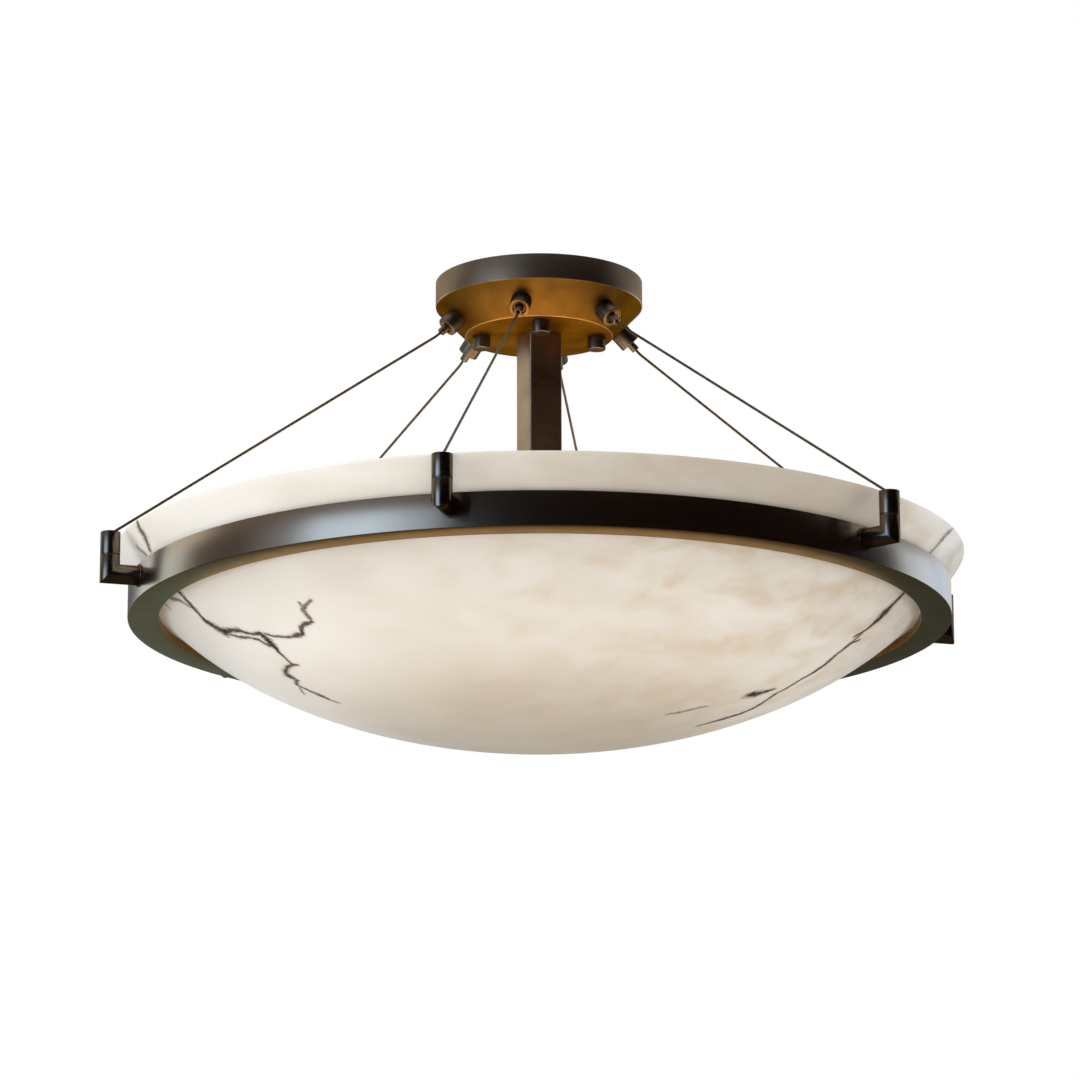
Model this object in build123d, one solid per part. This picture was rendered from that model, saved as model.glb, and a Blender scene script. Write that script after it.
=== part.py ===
from build123d import *

# Semi flush ceiling light. A round bowl rests in a metal ring, six wire ropes hang the ring
# from grips on a stepped canopy, and a square stem carries three lamps down into the bowl.
# Millimetres, +Z up. The origin is on the light's axis, on the ceiling plane. One elbow of
# the ring points along -Y, and the others follow every sixty degrees.

import os
from math import atan2, cos, degrees, pi, radians, sin, sqrt, tan

os.makedirs("parts", exist_ok=True)

# ---------------------------------------------------------------- driving dimensions
# Canopy: spun sheet with a straight wall, a cone and a flat disc.
canopy_radius = 75.5
canopy_wall_height = 18.5
canopy_cone_width = 21.8
canopy_depth = 40.6
canopy_sheet = 1.2
canopy_bevel = 0.6

# Ceiling plate, with its slots for the junction box screws.
plate_inside_canopy = 13.5
plate_thickness = 2.5
wire_hole_radius = 12.0
slot_spacing = 79.4
slot_length = 15.0
slot_width = 5.0
ground_screw_radius = 1.75
ground_screw_place = 26.0
ground_screw_turn = 45.0
ground_head_across = 7.0
ground_head_height = 2.6

# Studs that hang from the plate, and the four thumb nuts that clamp the canopy up.
stud_count = 4
stud_inside_disc = 11.7
stud_turn = 13.6
stud_radius = 2.5
stud_collar_radius = 4.5
stud_collar_height = 1.5
stud_hole_radius = 2.8
stud_below_canopy = 6.5
thumb_nut_radius = 6.5
thumb_nut_height = 9.5
thumb_nut_bevel = 0.9
thumb_nut_bore_depth = 7.5

# Square stem between the canopy and the lamp hub.
stem_width = 25.4
stem_wall = 1.5
stem_corner = 1.6
stem_length = 195.4
stem_turn = 35.6
stem_plug_height = 10.0
nipple_radius = 5.0
nipple_bore_radius = 3.5
nipple_past_nut = 5.0
nipple_past_plug = 1.0
locknut_across = 17.0
locknut_height = 4.5

# Lamp hub, lampholders and bulbs.
lamp_count = 3
lamp_turn = -30.0
hub_radius = 22.0
hub_height = 28.0
hub_wall = 2.5
boss_radius = 9.0
boss_length = 4.0
cover_edge = 2.0
cover_rise = 4.0
cover_land_radius = 8.0
finial_radius = 7.0
finial_height = 10.0
finial_dome = 3.5
finial_shank_radius = 3.0
finial_shank_length = 7.5
cover_spigot_length = 5.0
cover_spigot_wall = 2.5
side_nipple_radius = 4.8
side_nipple_bore_radius = 3.2
side_nipple_past_wall = 1.5
side_nipple_into_holder = 8.0
holder_length = 46.0
holder_neck_radius = 12.0
holder_neck_length = 5.0
holder_shoulder_length = 3.0
holder_body_radius = 17.0
holder_rim_radius = 19.5
holder_rim_length = 6.0
holder_bore_depth = 31.0
shell_wall = 0.8
shell_length = 28.0
base_radius = 13.0
base_length = 22.0
base_taper = 4.0
base_button_radius = 4.5
base_button_length = 2.0
base_above_shell_floor = 1.0
bulb_radius = 30.0
bulb_length = 83.0
bulb_neck_radius = 12.6
bulb_neck_length = 6.5
bulb_glass = 1.0
bulb_flare_angle = 125.0

# Bowl: an ellipse turned about the axis, cut off level at the rim.
bowl_rim_radius = 305.6
bowl_rim_drop = 207.5
bowl_depth = 133.3
bowl_centre_above_rim = 72.8
bowl_wall = 5.0
bowl_rim_round = 1.0

# Ring: outer wall, flat flange below, and a low inner lip that carries the bowl seat.
ring_inside_rim = 10.6
ring_height = 24.3
ring_flange_width = 22.0
ring_wall = 3.0
ring_lip_height = 6.4
ring_edge_bevel = 0.5
seat_thickness = 1.35

# Elbows on the ring, with their caps, washers and screws.
elbow_count = 6
elbow_radius = 7.0
elbow_rise = 15.5
elbow_bevel = 0.4
cap_height = 17.0
cap_bevel = 0.8
spigot_radius = 4.4
spigot_length = 5.0
cap_bore_radius = 1.6
cap_notch_depth = 6.5
washer_radius = 8.0
washer_thickness = 1.2
screw_radius = 2.0
screw_grip = 10.0
screw_head_radius = 4.2
screw_head_height = 2.6

# Wire ropes and their end stops.
cable_radius = 1.0
cable_cap_bend = 8.0
cable_corner_below_cap = 1.5
cable_grip_bend = 40.0
cable_lead = 4.5
cable_tail = 12.0
stop_radius = 3.5
stop_length = 8.0
stop_bore_depth = 6.0

# Cable grips on the cone of the canopy.
grip_up_cone = 12.7
grip_radius = 7.5
grip_length = 11.5
grip_bevel = 1.2
grip_recess_radius = 4.7
grip_recess_depth = 1.5
grip_neck_length = 3.7
grip_shank_radius = 3.9
grip_shank_past_wall = 2.6
grip_head_across = 12.0
grip_head_height = 4.0
plunger_radius = 2.9
plunger_out = 6.0
plunger_flange_radius = 3.85
plunger_flange_height = 1.2
plunger_round = 0.9
plunger_bore_radius = 1.3

# ---------------------------------------------------------------- clearances
running = 0.05
hole_clearance = 0.3
plug_clearance = 0.05
bowl_clearance = 0.3
rim_to_elbow = 3.4
seating = 0.8
end_gap = 0.5

# ---------------------------------------------------------------- places that follow
spoke_angles = [-90.0 + 360.0 / elbow_count * i for i in range(elbow_count)]
stud_angles = [-90.0 + stud_turn + 360.0 / stud_count * i for i in range(stud_count)]
lamp_angles = [lamp_turn + 360.0 / lamp_count * i for i in range(lamp_count)]

canopy_disc_radius = canopy_radius - canopy_cone_width
plate_radius = canopy_radius - plate_inside_canopy
stud_place = canopy_disc_radius - stud_inside_disc
cone_angle = atan2(canopy_depth - canopy_wall_height, canopy_cone_width)
canopy_bottom = -canopy_depth
canopy_floor = canopy_bottom + canopy_sheet

stem_bottom = canopy_bottom - stem_length
lamp_level = stem_bottom - hub_height / 2
hub_bottom = stem_bottom - hub_height
cover_bottom = hub_bottom - cover_edge - cover_rise
holder_back = hub_radius + boss_length
holder_floor = holder_length - holder_bore_depth
shell_floor = holder_floor + shell_wall
button_end = shell_floor + base_above_shell_floor
base_start = button_end + base_button_length
base_end = base_start + base_length
bulb_centre = base_end + bulb_length - bulb_radius

bowl_rim = -bowl_rim_drop
bowl_centre = bowl_rim + bowl_centre_above_rim
bowl_half_height = bowl_centre_above_rim + bowl_depth
bowl_half_width = bowl_rim_radius / sqrt(1 - (bowl_centre_above_rim / bowl_half_height) ** 2)


def bowl_level(radius, offset=0.0):
    """Height of the bowl's outer surface, moved out by offset, at a radius."""
    across = (bowl_half_width + offset) ** 2
    return bowl_centre - (bowl_half_height + offset) * sqrt(1 - radius ** 2 / across)


ring_outer_radius = bowl_rim_radius - ring_inside_rim
ring_inner_radius = ring_outer_radius - ring_flange_width
lip_outer_radius = ring_inner_radius + ring_wall
lip_top = bowl_level(ring_inner_radius, bowl_clearance) - seat_thickness
ring_bottom = lip_top - ring_lip_height
ring_top = ring_bottom + ring_height
ring_bore_radius = ring_outer_radius - ring_wall

arm_level = ring_bottom + ring_height / 2
arm_start = ring_outer_radius + washer_thickness
barrel_place = bowl_rim_radius + rim_to_elbow + elbow_radius
elbow_top = arm_level + elbow_rise
cap_top = elbow_top + cap_height
stop_top = elbow_top - spigot_length
elbow_bore_radius = spigot_radius + running
elbow_bore_depth = spigot_length + stop_length + end_gap
cable_end = stop_top - stop_bore_depth

grip_place = canopy_disc_radius + grip_up_cone * cos(cone_angle)
grip_level = canopy_bottom + grip_up_cone * sin(cone_angle)
grip_plane = Plane(
    origin=(grip_place, 0, grip_level),
    x_dir=(0, 1, 0),
    z_dir=(sin(cone_angle), 0, -cos(cone_angle)),
)
neck_start = grip_length - grip_recess_depth - grip_neck_length
plunger_tip = grip_length + plunger_out


# ---------------------------------------------------------------- helpers
def section(*points):
    """Closed face through (radius, height) points."""
    return make_face(Polyline(*points, close=True))


def lathe(face):
    """Solid turned about Z from a face drawn as radius across and height up."""
    return revolve(Plane.XZ * face, Axis.Z)


def corners(face, *points):
    """The corners of a face that are nearest to the given points."""
    return [face.vertices().sort_by_distance((x, y, 0))[0] for x, y in points]


def rod(radius, low, high):
    """Round bar along Z between two heights."""
    return Pos(0, 0, low) * extrude(Circle(radius), high - low)


def tube(outer, inner, low, high):
    """Round tube along Z between two heights."""
    return Pos(0, 0, low) * extrude(Circle(outer) - Circle(inner), high - low)


def hexagon(across, low, high):
    """Hexagonal bar along Z, sized across its flats."""
    return Pos(0, 0, low) * extrude(RegularPolygon(across / 2, 6, major_radius=False), high - low)


def turned(angle, shape):
    """The shape turned about the light's axis."""
    return Rot(0, 0, angle) * shape


def radial(place, level):
    """Frame whose Z runs outwards along +X from a place at a level."""
    return Plane(origin=(place, 0, level), x_dir=(0, 1, 0), z_dir=(1, 0, 0))


def around(angles, shape):
    """One copy of the shape for each angle, as separate solids of one node."""
    return Compound(children=[turned(angle, shape) for angle in angles])


# ---------------------------------------------------------------- ceiling plate and studs
def make_ceiling_plate():
    plate = rod(plate_radius, -plate_thickness, 0)
    plate -= rod(wire_hole_radius, -plate_thickness, 0)
    slot = extrude(SlotOverall(slot_length, slot_width), -plate_thickness)
    for side in (-1, 1):
        plate -= Pos(side * slot_spacing / 2, 0, 0) * slot
    for angle in stud_angles:
        plate -= turned(angle, Pos(stud_place, 0, 0) * rod(stud_radius, -plate_thickness, 0))
    ground_hole = Pos(ground_screw_place, 0, 0) * rod(ground_screw_radius, -plate_thickness, 0)
    return plate - turned(ground_screw_turn, ground_hole)


def make_plate_studs():
    under = -plate_thickness
    stud = rod(stud_radius, canopy_bottom - stud_below_canopy, 0)
    stud += rod(stud_collar_radius, under - stud_collar_height, under)
    return around(stud_angles, Pos(stud_place, 0, 0) * stud)


def make_ground_screw():
    under = -plate_thickness
    screw = rod(ground_screw_radius, under, 0)
    screw += hexagon(ground_head_across, under - ground_head_height, under)
    return turned(ground_screw_turn, Pos(ground_screw_place, 0, 0) * screw)


# ---------------------------------------------------------------- canopy
def canopy_outline():
    """Outer face of the canopy, filled to the axis."""
    return section(
        (0, canopy_bottom),
        (canopy_disc_radius, canopy_bottom),
        (canopy_radius, -canopy_wall_height),
        (canopy_radius, 0),
        (0, 0),
    )


def make_canopy():
    inner_disc = canopy_disc_radius - canopy_sheet * tan(cone_angle / 2)
    inner_bend = -canopy_wall_height + canopy_sheet * tan(pi / 4 - cone_angle / 2)
    inner_radius = canopy_radius - canopy_sheet
    hollow = section(
        (0, canopy_floor),
        (inner_disc, canopy_floor),
        (inner_radius, inner_bend),
        (inner_radius, 0),
        (0, 0),
    )
    outline = canopy_outline()
    bends = corners(
        outline,
        (canopy_disc_radius, canopy_bottom),
        (canopy_radius, -canopy_wall_height),
    )
    canopy = lathe(chamfer(bends, canopy_bevel)) - lathe(hollow)
    canopy -= rod(nipple_radius + hole_clearance, canopy_bottom, canopy_floor)
    for angle in stud_angles:
        hole = Pos(stud_place, 0, 0) * rod(stud_hole_radius, canopy_bottom, canopy_floor)
        canopy -= turned(angle, hole)
    grip_hole = rod(grip_shank_radius + hole_clearance, -3 * canopy_sheet, 2 * canopy_sheet)
    for angle in spoke_angles:
        canopy -= turned(angle, grip_plane * grip_hole)
    return canopy


def make_thumb_nut():
    low = canopy_bottom - thumb_nut_height
    profile = section(
        (0, low), (thumb_nut_radius, low), (thumb_nut_radius, canopy_bottom), (0, canopy_bottom)
    )
    rims = corners(profile, (thumb_nut_radius, low), (thumb_nut_radius, canopy_bottom))
    nut = lathe(chamfer(rims, thumb_nut_bevel))
    nut -= rod(stud_radius + running, canopy_bottom - thumb_nut_bore_depth, canopy_bottom)
    return Pos(stud_place, 0, 0) * nut


# ---------------------------------------------------------------- stem
def make_stem():
    outside = RectangleRounded(stem_width, stem_width, stem_corner)
    hollow = stem_width - 2 * stem_wall
    walls = extrude(outside - Rectangle(hollow, hollow), stem_length)
    return turned(stem_turn, Pos(0, 0, stem_bottom) * walls)


def make_stem_end_plugs():
    width = stem_width - 2 * stem_wall - 2 * plug_clearance
    plug = extrude(Rectangle(width, width) - Circle(nipple_radius), stem_plug_height)
    levels = (stem_bottom, canopy_bottom - stem_plug_height)
    return Compound(children=[turned(stem_turn, Pos(0, 0, level) * plug) for level in levels])


def make_stem_nipple():
    low = canopy_bottom - stem_plug_height - nipple_past_plug
    high = canopy_floor + locknut_height + nipple_past_nut
    return tube(nipple_radius, nipple_bore_radius, low, high)


def make_stem_locknuts():
    nut = hexagon(locknut_across, 0, locknut_height)
    nut -= rod(nipple_radius + running, 0, locknut_height)
    levels = (canopy_floor, stem_bottom - hub_wall - locknut_height)
    return Compound(children=[Pos(0, 0, level) * nut for level in levels])


# ---------------------------------------------------------------- lamp hub
def make_hub_nipple():
    high = stem_bottom + stem_plug_height + nipple_past_plug
    low = stem_bottom - hub_wall - locknut_height - nipple_past_nut
    return tube(nipple_radius, nipple_bore_radius, low, high)


def make_hub():
    hub = rod(hub_radius, hub_bottom, stem_bottom)
    for angle in lamp_angles:
        boss = radial(0, lamp_level) * rod(boss_radius, 0, holder_back)
        hub += turned(angle, boss)
    hub -= rod(hub_radius - hub_wall, hub_bottom, stem_bottom - hub_wall)
    hub -= rod(nipple_radius + running, stem_bottom - hub_wall, stem_bottom)
    for angle in lamp_angles:
        hole = radial(0, lamp_level) * rod(side_nipple_radius, 0, holder_back)
        hub -= turned(angle, hole)
    return hub


def make_hub_cover():
    hole = finial_shank_radius + running
    spigot = hub_radius - hub_wall - running
    return lathe(
        section(
            (hole, hub_bottom),
            (spigot - cover_spigot_wall, hub_bottom),
            (spigot - cover_spigot_wall, hub_bottom + cover_spigot_length),
            (spigot, hub_bottom + cover_spigot_length),
            (spigot, hub_bottom),
            (hub_radius, hub_bottom),
            (hub_radius, hub_bottom - cover_edge),
            (cover_land_radius, cover_bottom),
            (hole, cover_bottom),
        )
    )


def make_hub_finial():
    low = cover_bottom - finial_height
    straight = low + finial_dome
    side = Line((finial_radius, straight), (finial_radius, cover_bottom))
    top = Polyline((finial_radius, cover_bottom), (0, cover_bottom), (0, low))
    dome = ThreePointArc((0, low), dome_middle(low), (finial_radius, straight))
    knob = lathe(make_face([side, *top.edges(), dome]))
    return knob + rod(finial_shank_radius, cover_bottom, cover_bottom + finial_shank_length)


def dome_middle(low):
    """Point half way round the finial's domed end."""
    ball = (finial_radius ** 2 + finial_dome ** 2) / (2 * finial_dome)
    half = atan2(finial_radius, ball - finial_dome) / 2
    return (ball * sin(half), low + ball - ball * cos(half))


def make_holder_nipples():
    low = hub_radius - hub_wall - side_nipple_past_wall
    high = holder_back + side_nipple_into_holder
    nipple = radial(0, lamp_level) * tube(side_nipple_radius, side_nipple_bore_radius, low, high)
    return around(lamp_angles, nipple)


# ---------------------------------------------------------------- lampholders and bulbs
def make_lampholder():
    bore = base_radius + running + shell_wall + running
    hole = side_nipple_radius + running
    shoulder = holder_neck_length + holder_shoulder_length
    rim_start = holder_length - holder_rim_length
    rim_step = holder_rim_radius - holder_body_radius
    holder = lathe(
        section(
            (hole, 0),
            (holder_neck_radius, 0),
            (holder_neck_radius, holder_neck_length),
            (holder_body_radius, shoulder),
            (holder_body_radius, rim_start - rim_step),
            (holder_rim_radius, rim_start),
            (holder_rim_radius, holder_length),
            (bore, holder_length),
            (bore, holder_floor),
            (hole, holder_floor),
        )
    )
    return radial(holder_back, lamp_level) * holder


def make_socket_shells():
    inner = base_radius + running
    outer = inner + shell_wall
    shell = tube(outer, inner, holder_floor, holder_floor + shell_length)
    shell += tube(outer, base_button_radius + hole_clearance, holder_floor, shell_floor)
    return around(lamp_angles, radial(holder_back, lamp_level) * shell)


def make_bulb_base():
    base = lathe(
        section(
            (0, button_end),
            (base_button_radius, button_end),
            (base_button_radius, base_start),
            (base_radius, base_start + base_taper),
            (base_radius, base_end),
            (0, base_end),
        )
    )
    return radial(holder_back, lamp_level) * base


def bulb_body(inset):
    """Bulb outline moved in by inset, from the neck to the end of the ball."""
    ball = bulb_radius - inset
    neck = bulb_neck_radius - inset
    flare = radians(bulb_flare_angle)
    neck_end = (neck, base_end + bulb_neck_length)
    ball_start = (ball * sin(flare), bulb_centre + ball * cos(flare))
    ball_middle = (ball * sin(flare / 2), bulb_centre + ball * cos(flare / 2))
    end = (0, bulb_centre + ball)
    side = Line((neck, base_end), neck_end)
    flank = Spline(neck_end, ball_start, tangents=((0, 1), (-cos(flare), sin(flare))))
    crown = ThreePointArc(ball_start, ball_middle, end)
    closing = Polyline(end, (0, base_end), (neck, base_end))
    return lathe(make_face([side, flank, crown, *closing.edges()]))


def make_bulb_glass():
    return radial(holder_back, lamp_level) * (bulb_body(0) - bulb_body(bulb_glass))


# ---------------------------------------------------------------- bowl, seat and ring
def make_bowl():
    outside = Pos(0, bowl_centre) * Ellipse(bowl_half_width, bowl_half_height)
    inside = Pos(0, bowl_centre) * Ellipse(bowl_half_width - bowl_wall, bowl_half_height - bowl_wall)
    below_rim = Pos(bowl_half_width, bowl_rim - bowl_half_height) * Rectangle(
        2 * bowl_half_width, 2 * bowl_half_height
    )
    wall = (outside - inside) & below_rim
    rim_inner = (bowl_half_width - bowl_wall) * sqrt(
        1 - (bowl_centre_above_rim / (bowl_half_height - bowl_wall)) ** 2
    )
    rim = corners(wall, (bowl_rim_radius, bowl_rim), (rim_inner, bowl_rim))
    return lathe(fillet(rim, bowl_rim_round))


def make_bowl_seat():
    return lathe(
        section(
            (ring_inner_radius, lip_top),
            (lip_outer_radius, lip_top),
            (lip_outer_radius, bowl_level(lip_outer_radius, bowl_clearance)),
            (ring_inner_radius, bowl_level(ring_inner_radius, bowl_clearance)),
        )
    )


def make_ring():
    flange_top = ring_bottom + ring_wall
    profile = section(
        (ring_inner_radius, ring_bottom),
        (ring_outer_radius, ring_bottom),
        (ring_outer_radius, ring_top),
        (ring_bore_radius, ring_top),
        (ring_bore_radius, flange_top),
        (lip_outer_radius, flange_top),
        (lip_outer_radius, lip_top),
        (ring_inner_radius, lip_top),
    )
    edges = corners(
        profile,
        (ring_inner_radius, ring_bottom),
        (ring_outer_radius, ring_bottom),
        (ring_outer_radius, ring_top),
    )
    ring = lathe(chamfer(edges, ring_edge_bevel))
    bolt_hole = rod(screw_radius + hole_clearance, ring_bore_radius - ring_wall, arm_start)
    for angle in spoke_angles:
        ring -= turned(angle, radial(0, arm_level) * bolt_hole)
    return ring


# ---------------------------------------------------------------- elbows
def make_elbow():
    corner_line = Polyline(
        (arm_start, 0, arm_level), (barrel_place, 0, arm_level), (barrel_place, 0, elbow_top)
    )
    start = radial(arm_start, arm_level) * Circle(elbow_radius)
    elbow = sweep(start, path=corner_line, transition=Transition.RIGHT)
    top_edge = elbow.faces().sort_by(Axis.Z)[-1].edges()
    elbow = chamfer(top_edge, elbow_bevel)
    bore = rod(elbow_bore_radius, elbow_top - elbow_bore_depth, elbow_top)
    thread = radial(0, arm_level) * rod(
        screw_radius + running, arm_start, arm_start + screw_grip + end_gap
    )
    return elbow - Pos(barrel_place, 0, 0) * bore - thread


def make_cable_caps():
    profile = section(
        (cap_bore_radius, stop_top),
        (spigot_radius, stop_top),
        (spigot_radius, elbow_top),
        (elbow_radius, elbow_top),
        (elbow_radius, cap_top),
        (cap_bore_radius, cap_top),
    )
    rim = corners(profile, (elbow_radius, cap_top))
    notch = Pos(-elbow_radius / 2, 0, cap_top - cap_notch_depth / 2) * Box(
        elbow_radius, 2 * cap_bore_radius, cap_notch_depth
    )
    cap = lathe(chamfer(rim, cap_bevel)) - notch
    return around(spoke_angles, Pos(barrel_place, 0, 0) * cap)


def make_elbow_washers():
    washer = tube(washer_radius, screw_radius + hole_clearance, ring_outer_radius, arm_start)
    return around(spoke_angles, radial(0, arm_level) * washer)


def make_elbow_screws():
    head_seat = sqrt(ring_bore_radius ** 2 - screw_head_radius ** 2)
    screw = rod(screw_radius, head_seat, arm_start + screw_grip)
    screw += rod(screw_head_radius, head_seat - screw_head_height, head_seat)
    return around(spoke_angles, radial(0, arm_level) * screw)


# ---------------------------------------------------------------- wire ropes
def grip_point(along):
    """Point on the grip's axis, measured outwards from the canopy's cone."""
    return (grip_place + along * sin(cone_angle), 0, grip_level - along * cos(cone_angle))


def make_cable_path():
    tail_end = -(canopy_sheet + grip_head_height + cable_tail)
    corner_level = cap_top - cable_corner_below_cap
    return FilletPolyline(
        (barrel_place, 0, cable_end),
        (barrel_place, 0, corner_level),
        grip_point(plunger_tip + cable_lead),
        grip_point(tail_end),
        radius=[cable_cap_bend, cable_grip_bend],
    )


def make_cable(path):
    start = Plane(origin=path @ 0, z_dir=path % 0) * Circle(cable_radius)
    return sweep(start, path=path)


def make_cable_stops():
    stop = rod(stop_radius, stop_top - stop_length, stop_top)
    stop -= rod(cable_radius, cable_end, stop_top)
    return around(spoke_angles, Pos(barrel_place, 0, 0) * stop)


# ---------------------------------------------------------------- cable grips
def make_grip_body():
    shank_bore = grip_shank_radius + running
    profile = section(
        (shank_bore, -seating),
        (grip_radius, -seating),
        (grip_radius, grip_length),
        (grip_recess_radius, grip_length),
        (grip_recess_radius, grip_length - grip_recess_depth),
        (plunger_radius + running, grip_length - grip_recess_depth),
        (plunger_radius + running, neck_start),
        (shank_bore, neck_start),
    )
    rim = corners(profile, (grip_radius, grip_length))
    return grip_plane * lathe(chamfer(rim, grip_bevel)) - lathe(canopy_outline())


def make_grip_studs(canopy):
    head_low = -canopy_sheet - grip_head_height
    stud = hexagon(grip_head_across, head_low, -canopy_sheet / 2)
    stud = grip_plane * stud - turned(-spoke_angles[0], canopy)
    stud += grip_plane * rod(grip_shank_radius, head_low, grip_shank_past_wall)
    stud -= grip_plane * rod(cable_radius, head_low, 0)
    stud -= grip_plane * rod(plunger_bore_radius, 0, grip_shank_past_wall)
    return around(spoke_angles, stud)


def make_grip_plunger():
    flange_start = neck_start - plunger_flange_height
    profile = section(
        (plunger_bore_radius, flange_start),
        (plunger_flange_radius, flange_start),
        (plunger_flange_radius, neck_start),
        (plunger_radius, neck_start),
        (plunger_radius, plunger_tip),
        (plunger_bore_radius, plunger_tip),
    )
    tip = corners(profile, (plunger_radius, plunger_tip))
    return grip_plane * lathe(fillet(tip, plunger_round))


# ---------------------------------------------------------------- the whole light
cable_path = make_cable_path()
canopy_piece = make_canopy()
cable_piece = make_cable(cable_path)

pieces = {
    "ceiling_plate": make_ceiling_plate(),
    "plate_studs": make_plate_studs(),
    "ground_screw": make_ground_screw(),
    "canopy": canopy_piece,
    "stem": make_stem(),
    "stem_end_plugs": make_stem_end_plugs(),
    "stem_nipple": make_stem_nipple(),
    "stem_locknuts": make_stem_locknuts(),
    "hub_nipple": make_hub_nipple(),
    "hub": make_hub(),
    "hub_cover": make_hub_cover(),
    "hub_finial": make_hub_finial(),
    "holder_nipples": make_holder_nipples(),
    "socket_shells": make_socket_shells(),
    "bowl": make_bowl(),
    "bowl_seat": make_bowl_seat(),
    "ring": make_ring(),
    "cable_caps": make_cable_caps(),
    "elbow_washers": make_elbow_washers(),
    "elbow_screws": make_elbow_screws(),
    "cable_stops": make_cable_stops(),
    "grip_studs": make_grip_studs(canopy_piece),
}

repeats = {
    "thumb_nut": (stud_angles, make_thumb_nut()),
    "lampholder": (lamp_angles, make_lampholder()),
    "bulb_base": (lamp_angles, make_bulb_base()),
    "bulb_glass": (lamp_angles, make_bulb_glass()),
    "elbow": (spoke_angles, make_elbow()),
    "cable": (spoke_angles, cable_piece),
    "grip_body": (spoke_angles, make_grip_body()),
    "grip_plunger": (spoke_angles, make_grip_plunger()),
}
for name, (angles, shape) in repeats.items():
    for number, angle in enumerate(angles, start=1):
        pieces[f"{name}_{number}"] = turned(angle, shape)

for name, shape in pieces.items():
    export_step(shape, f"parts/{name}.step")

section_area = pi * cable_radius ** 2
print("cable length", round(cable_path.length, 2), "mm, bends", cable_cap_bend, cable_grip_bend)
print("cable volume over section times length", cable_piece.volume / section_area / cable_path.length)
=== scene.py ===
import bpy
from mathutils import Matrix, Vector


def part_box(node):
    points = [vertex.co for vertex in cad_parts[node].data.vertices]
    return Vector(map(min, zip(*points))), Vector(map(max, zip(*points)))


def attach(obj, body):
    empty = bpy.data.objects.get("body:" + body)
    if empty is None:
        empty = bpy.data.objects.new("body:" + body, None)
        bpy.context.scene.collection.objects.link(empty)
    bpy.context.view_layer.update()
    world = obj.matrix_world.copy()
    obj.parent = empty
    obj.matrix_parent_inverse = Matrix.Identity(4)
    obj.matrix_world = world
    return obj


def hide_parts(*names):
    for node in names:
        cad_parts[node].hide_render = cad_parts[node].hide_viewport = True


bl_info = {
    "name": "Semi flush ceiling light",
    "version": (1, 0, 0),
    "blender": (4, 5, 0),
    "location": "View3D > Sidebar > Ceiling light",
    "description": "Builds a stone look bowl on a ring that hangs from a stepped canopy on six wire ropes",
    "category": "Object",
}

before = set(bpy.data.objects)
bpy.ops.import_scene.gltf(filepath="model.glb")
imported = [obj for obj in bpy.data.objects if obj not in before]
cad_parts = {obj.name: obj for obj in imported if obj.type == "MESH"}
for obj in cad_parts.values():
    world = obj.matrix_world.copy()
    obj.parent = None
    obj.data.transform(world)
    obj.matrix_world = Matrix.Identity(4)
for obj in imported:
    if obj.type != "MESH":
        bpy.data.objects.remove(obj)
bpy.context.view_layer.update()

import math

import bpy
from bpy.props import FloatProperty, FloatVectorProperty, IntProperty, PointerProperty
from mathutils import Vector

MM = 0.001

# The light's axis is the world's Z axis, and the ceiling is at 0.
CANOPY_LOW, CANOPY_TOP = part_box("canopy")
STEM_LOW, STEM_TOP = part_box("stem")
RING_LOW, RING_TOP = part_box("ring")
BOWL_LOW, BOWL_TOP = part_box("bowl")
ELBOW_LOW, ELBOW_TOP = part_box("elbow_4")
CAPS_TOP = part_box("cable_caps")[1]
NUT_LOW, NUT_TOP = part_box("thumb_nut_1")
HUB_LOW, HUB_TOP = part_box("hub")
COVER_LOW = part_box("hub_cover")[0].z

LAMP_LEVEL = (HUB_LOW.z + HUB_TOP.z) / 2
HOLDER_BACK = 26.0 * MM
SIDEWAYS = (0, math.pi / 2, 0)


def even_turns(count, first):
    """Turns about the light's axis, evenly apart, from the first one in degrees."""
    return [math.radians(first + 360 / count * i) for i in range(count)]


FRONT = -90
SPOKES = even_turns(6, FRONT)
NUT_TURNS = even_turns(4, FRONT + 13.6)
LAMP_TURNS = even_turns(3, -30)


def paint(red, green, blue):
    """Linear colour of a paint given in steps from 0 to 255."""
    def linear(step):
        share = step / 255
        return share / 12.92 if share <= 0.04045 else ((share + 0.055) / 1.055) ** 2.4
    return (linear(red), linear(green), linear(blue))


def in_mm(*points):
    """Points given in millimetres."""
    return [tuple(value * MM for value in point) for point in points]


def length(name, description, default):
    return FloatProperty(name=name, description=description, default=default, min=0.0, unit="LENGTH")


def angle(name, description, default):
    return FloatProperty(name=name, description=description, default=math.radians(default), unit="ROTATION")


def colour(name, description, default):
    return FloatVectorProperty(
        name=name, description=description, default=default, size=3, min=0.0, max=1.0, subtype="COLOR",
    )


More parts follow.
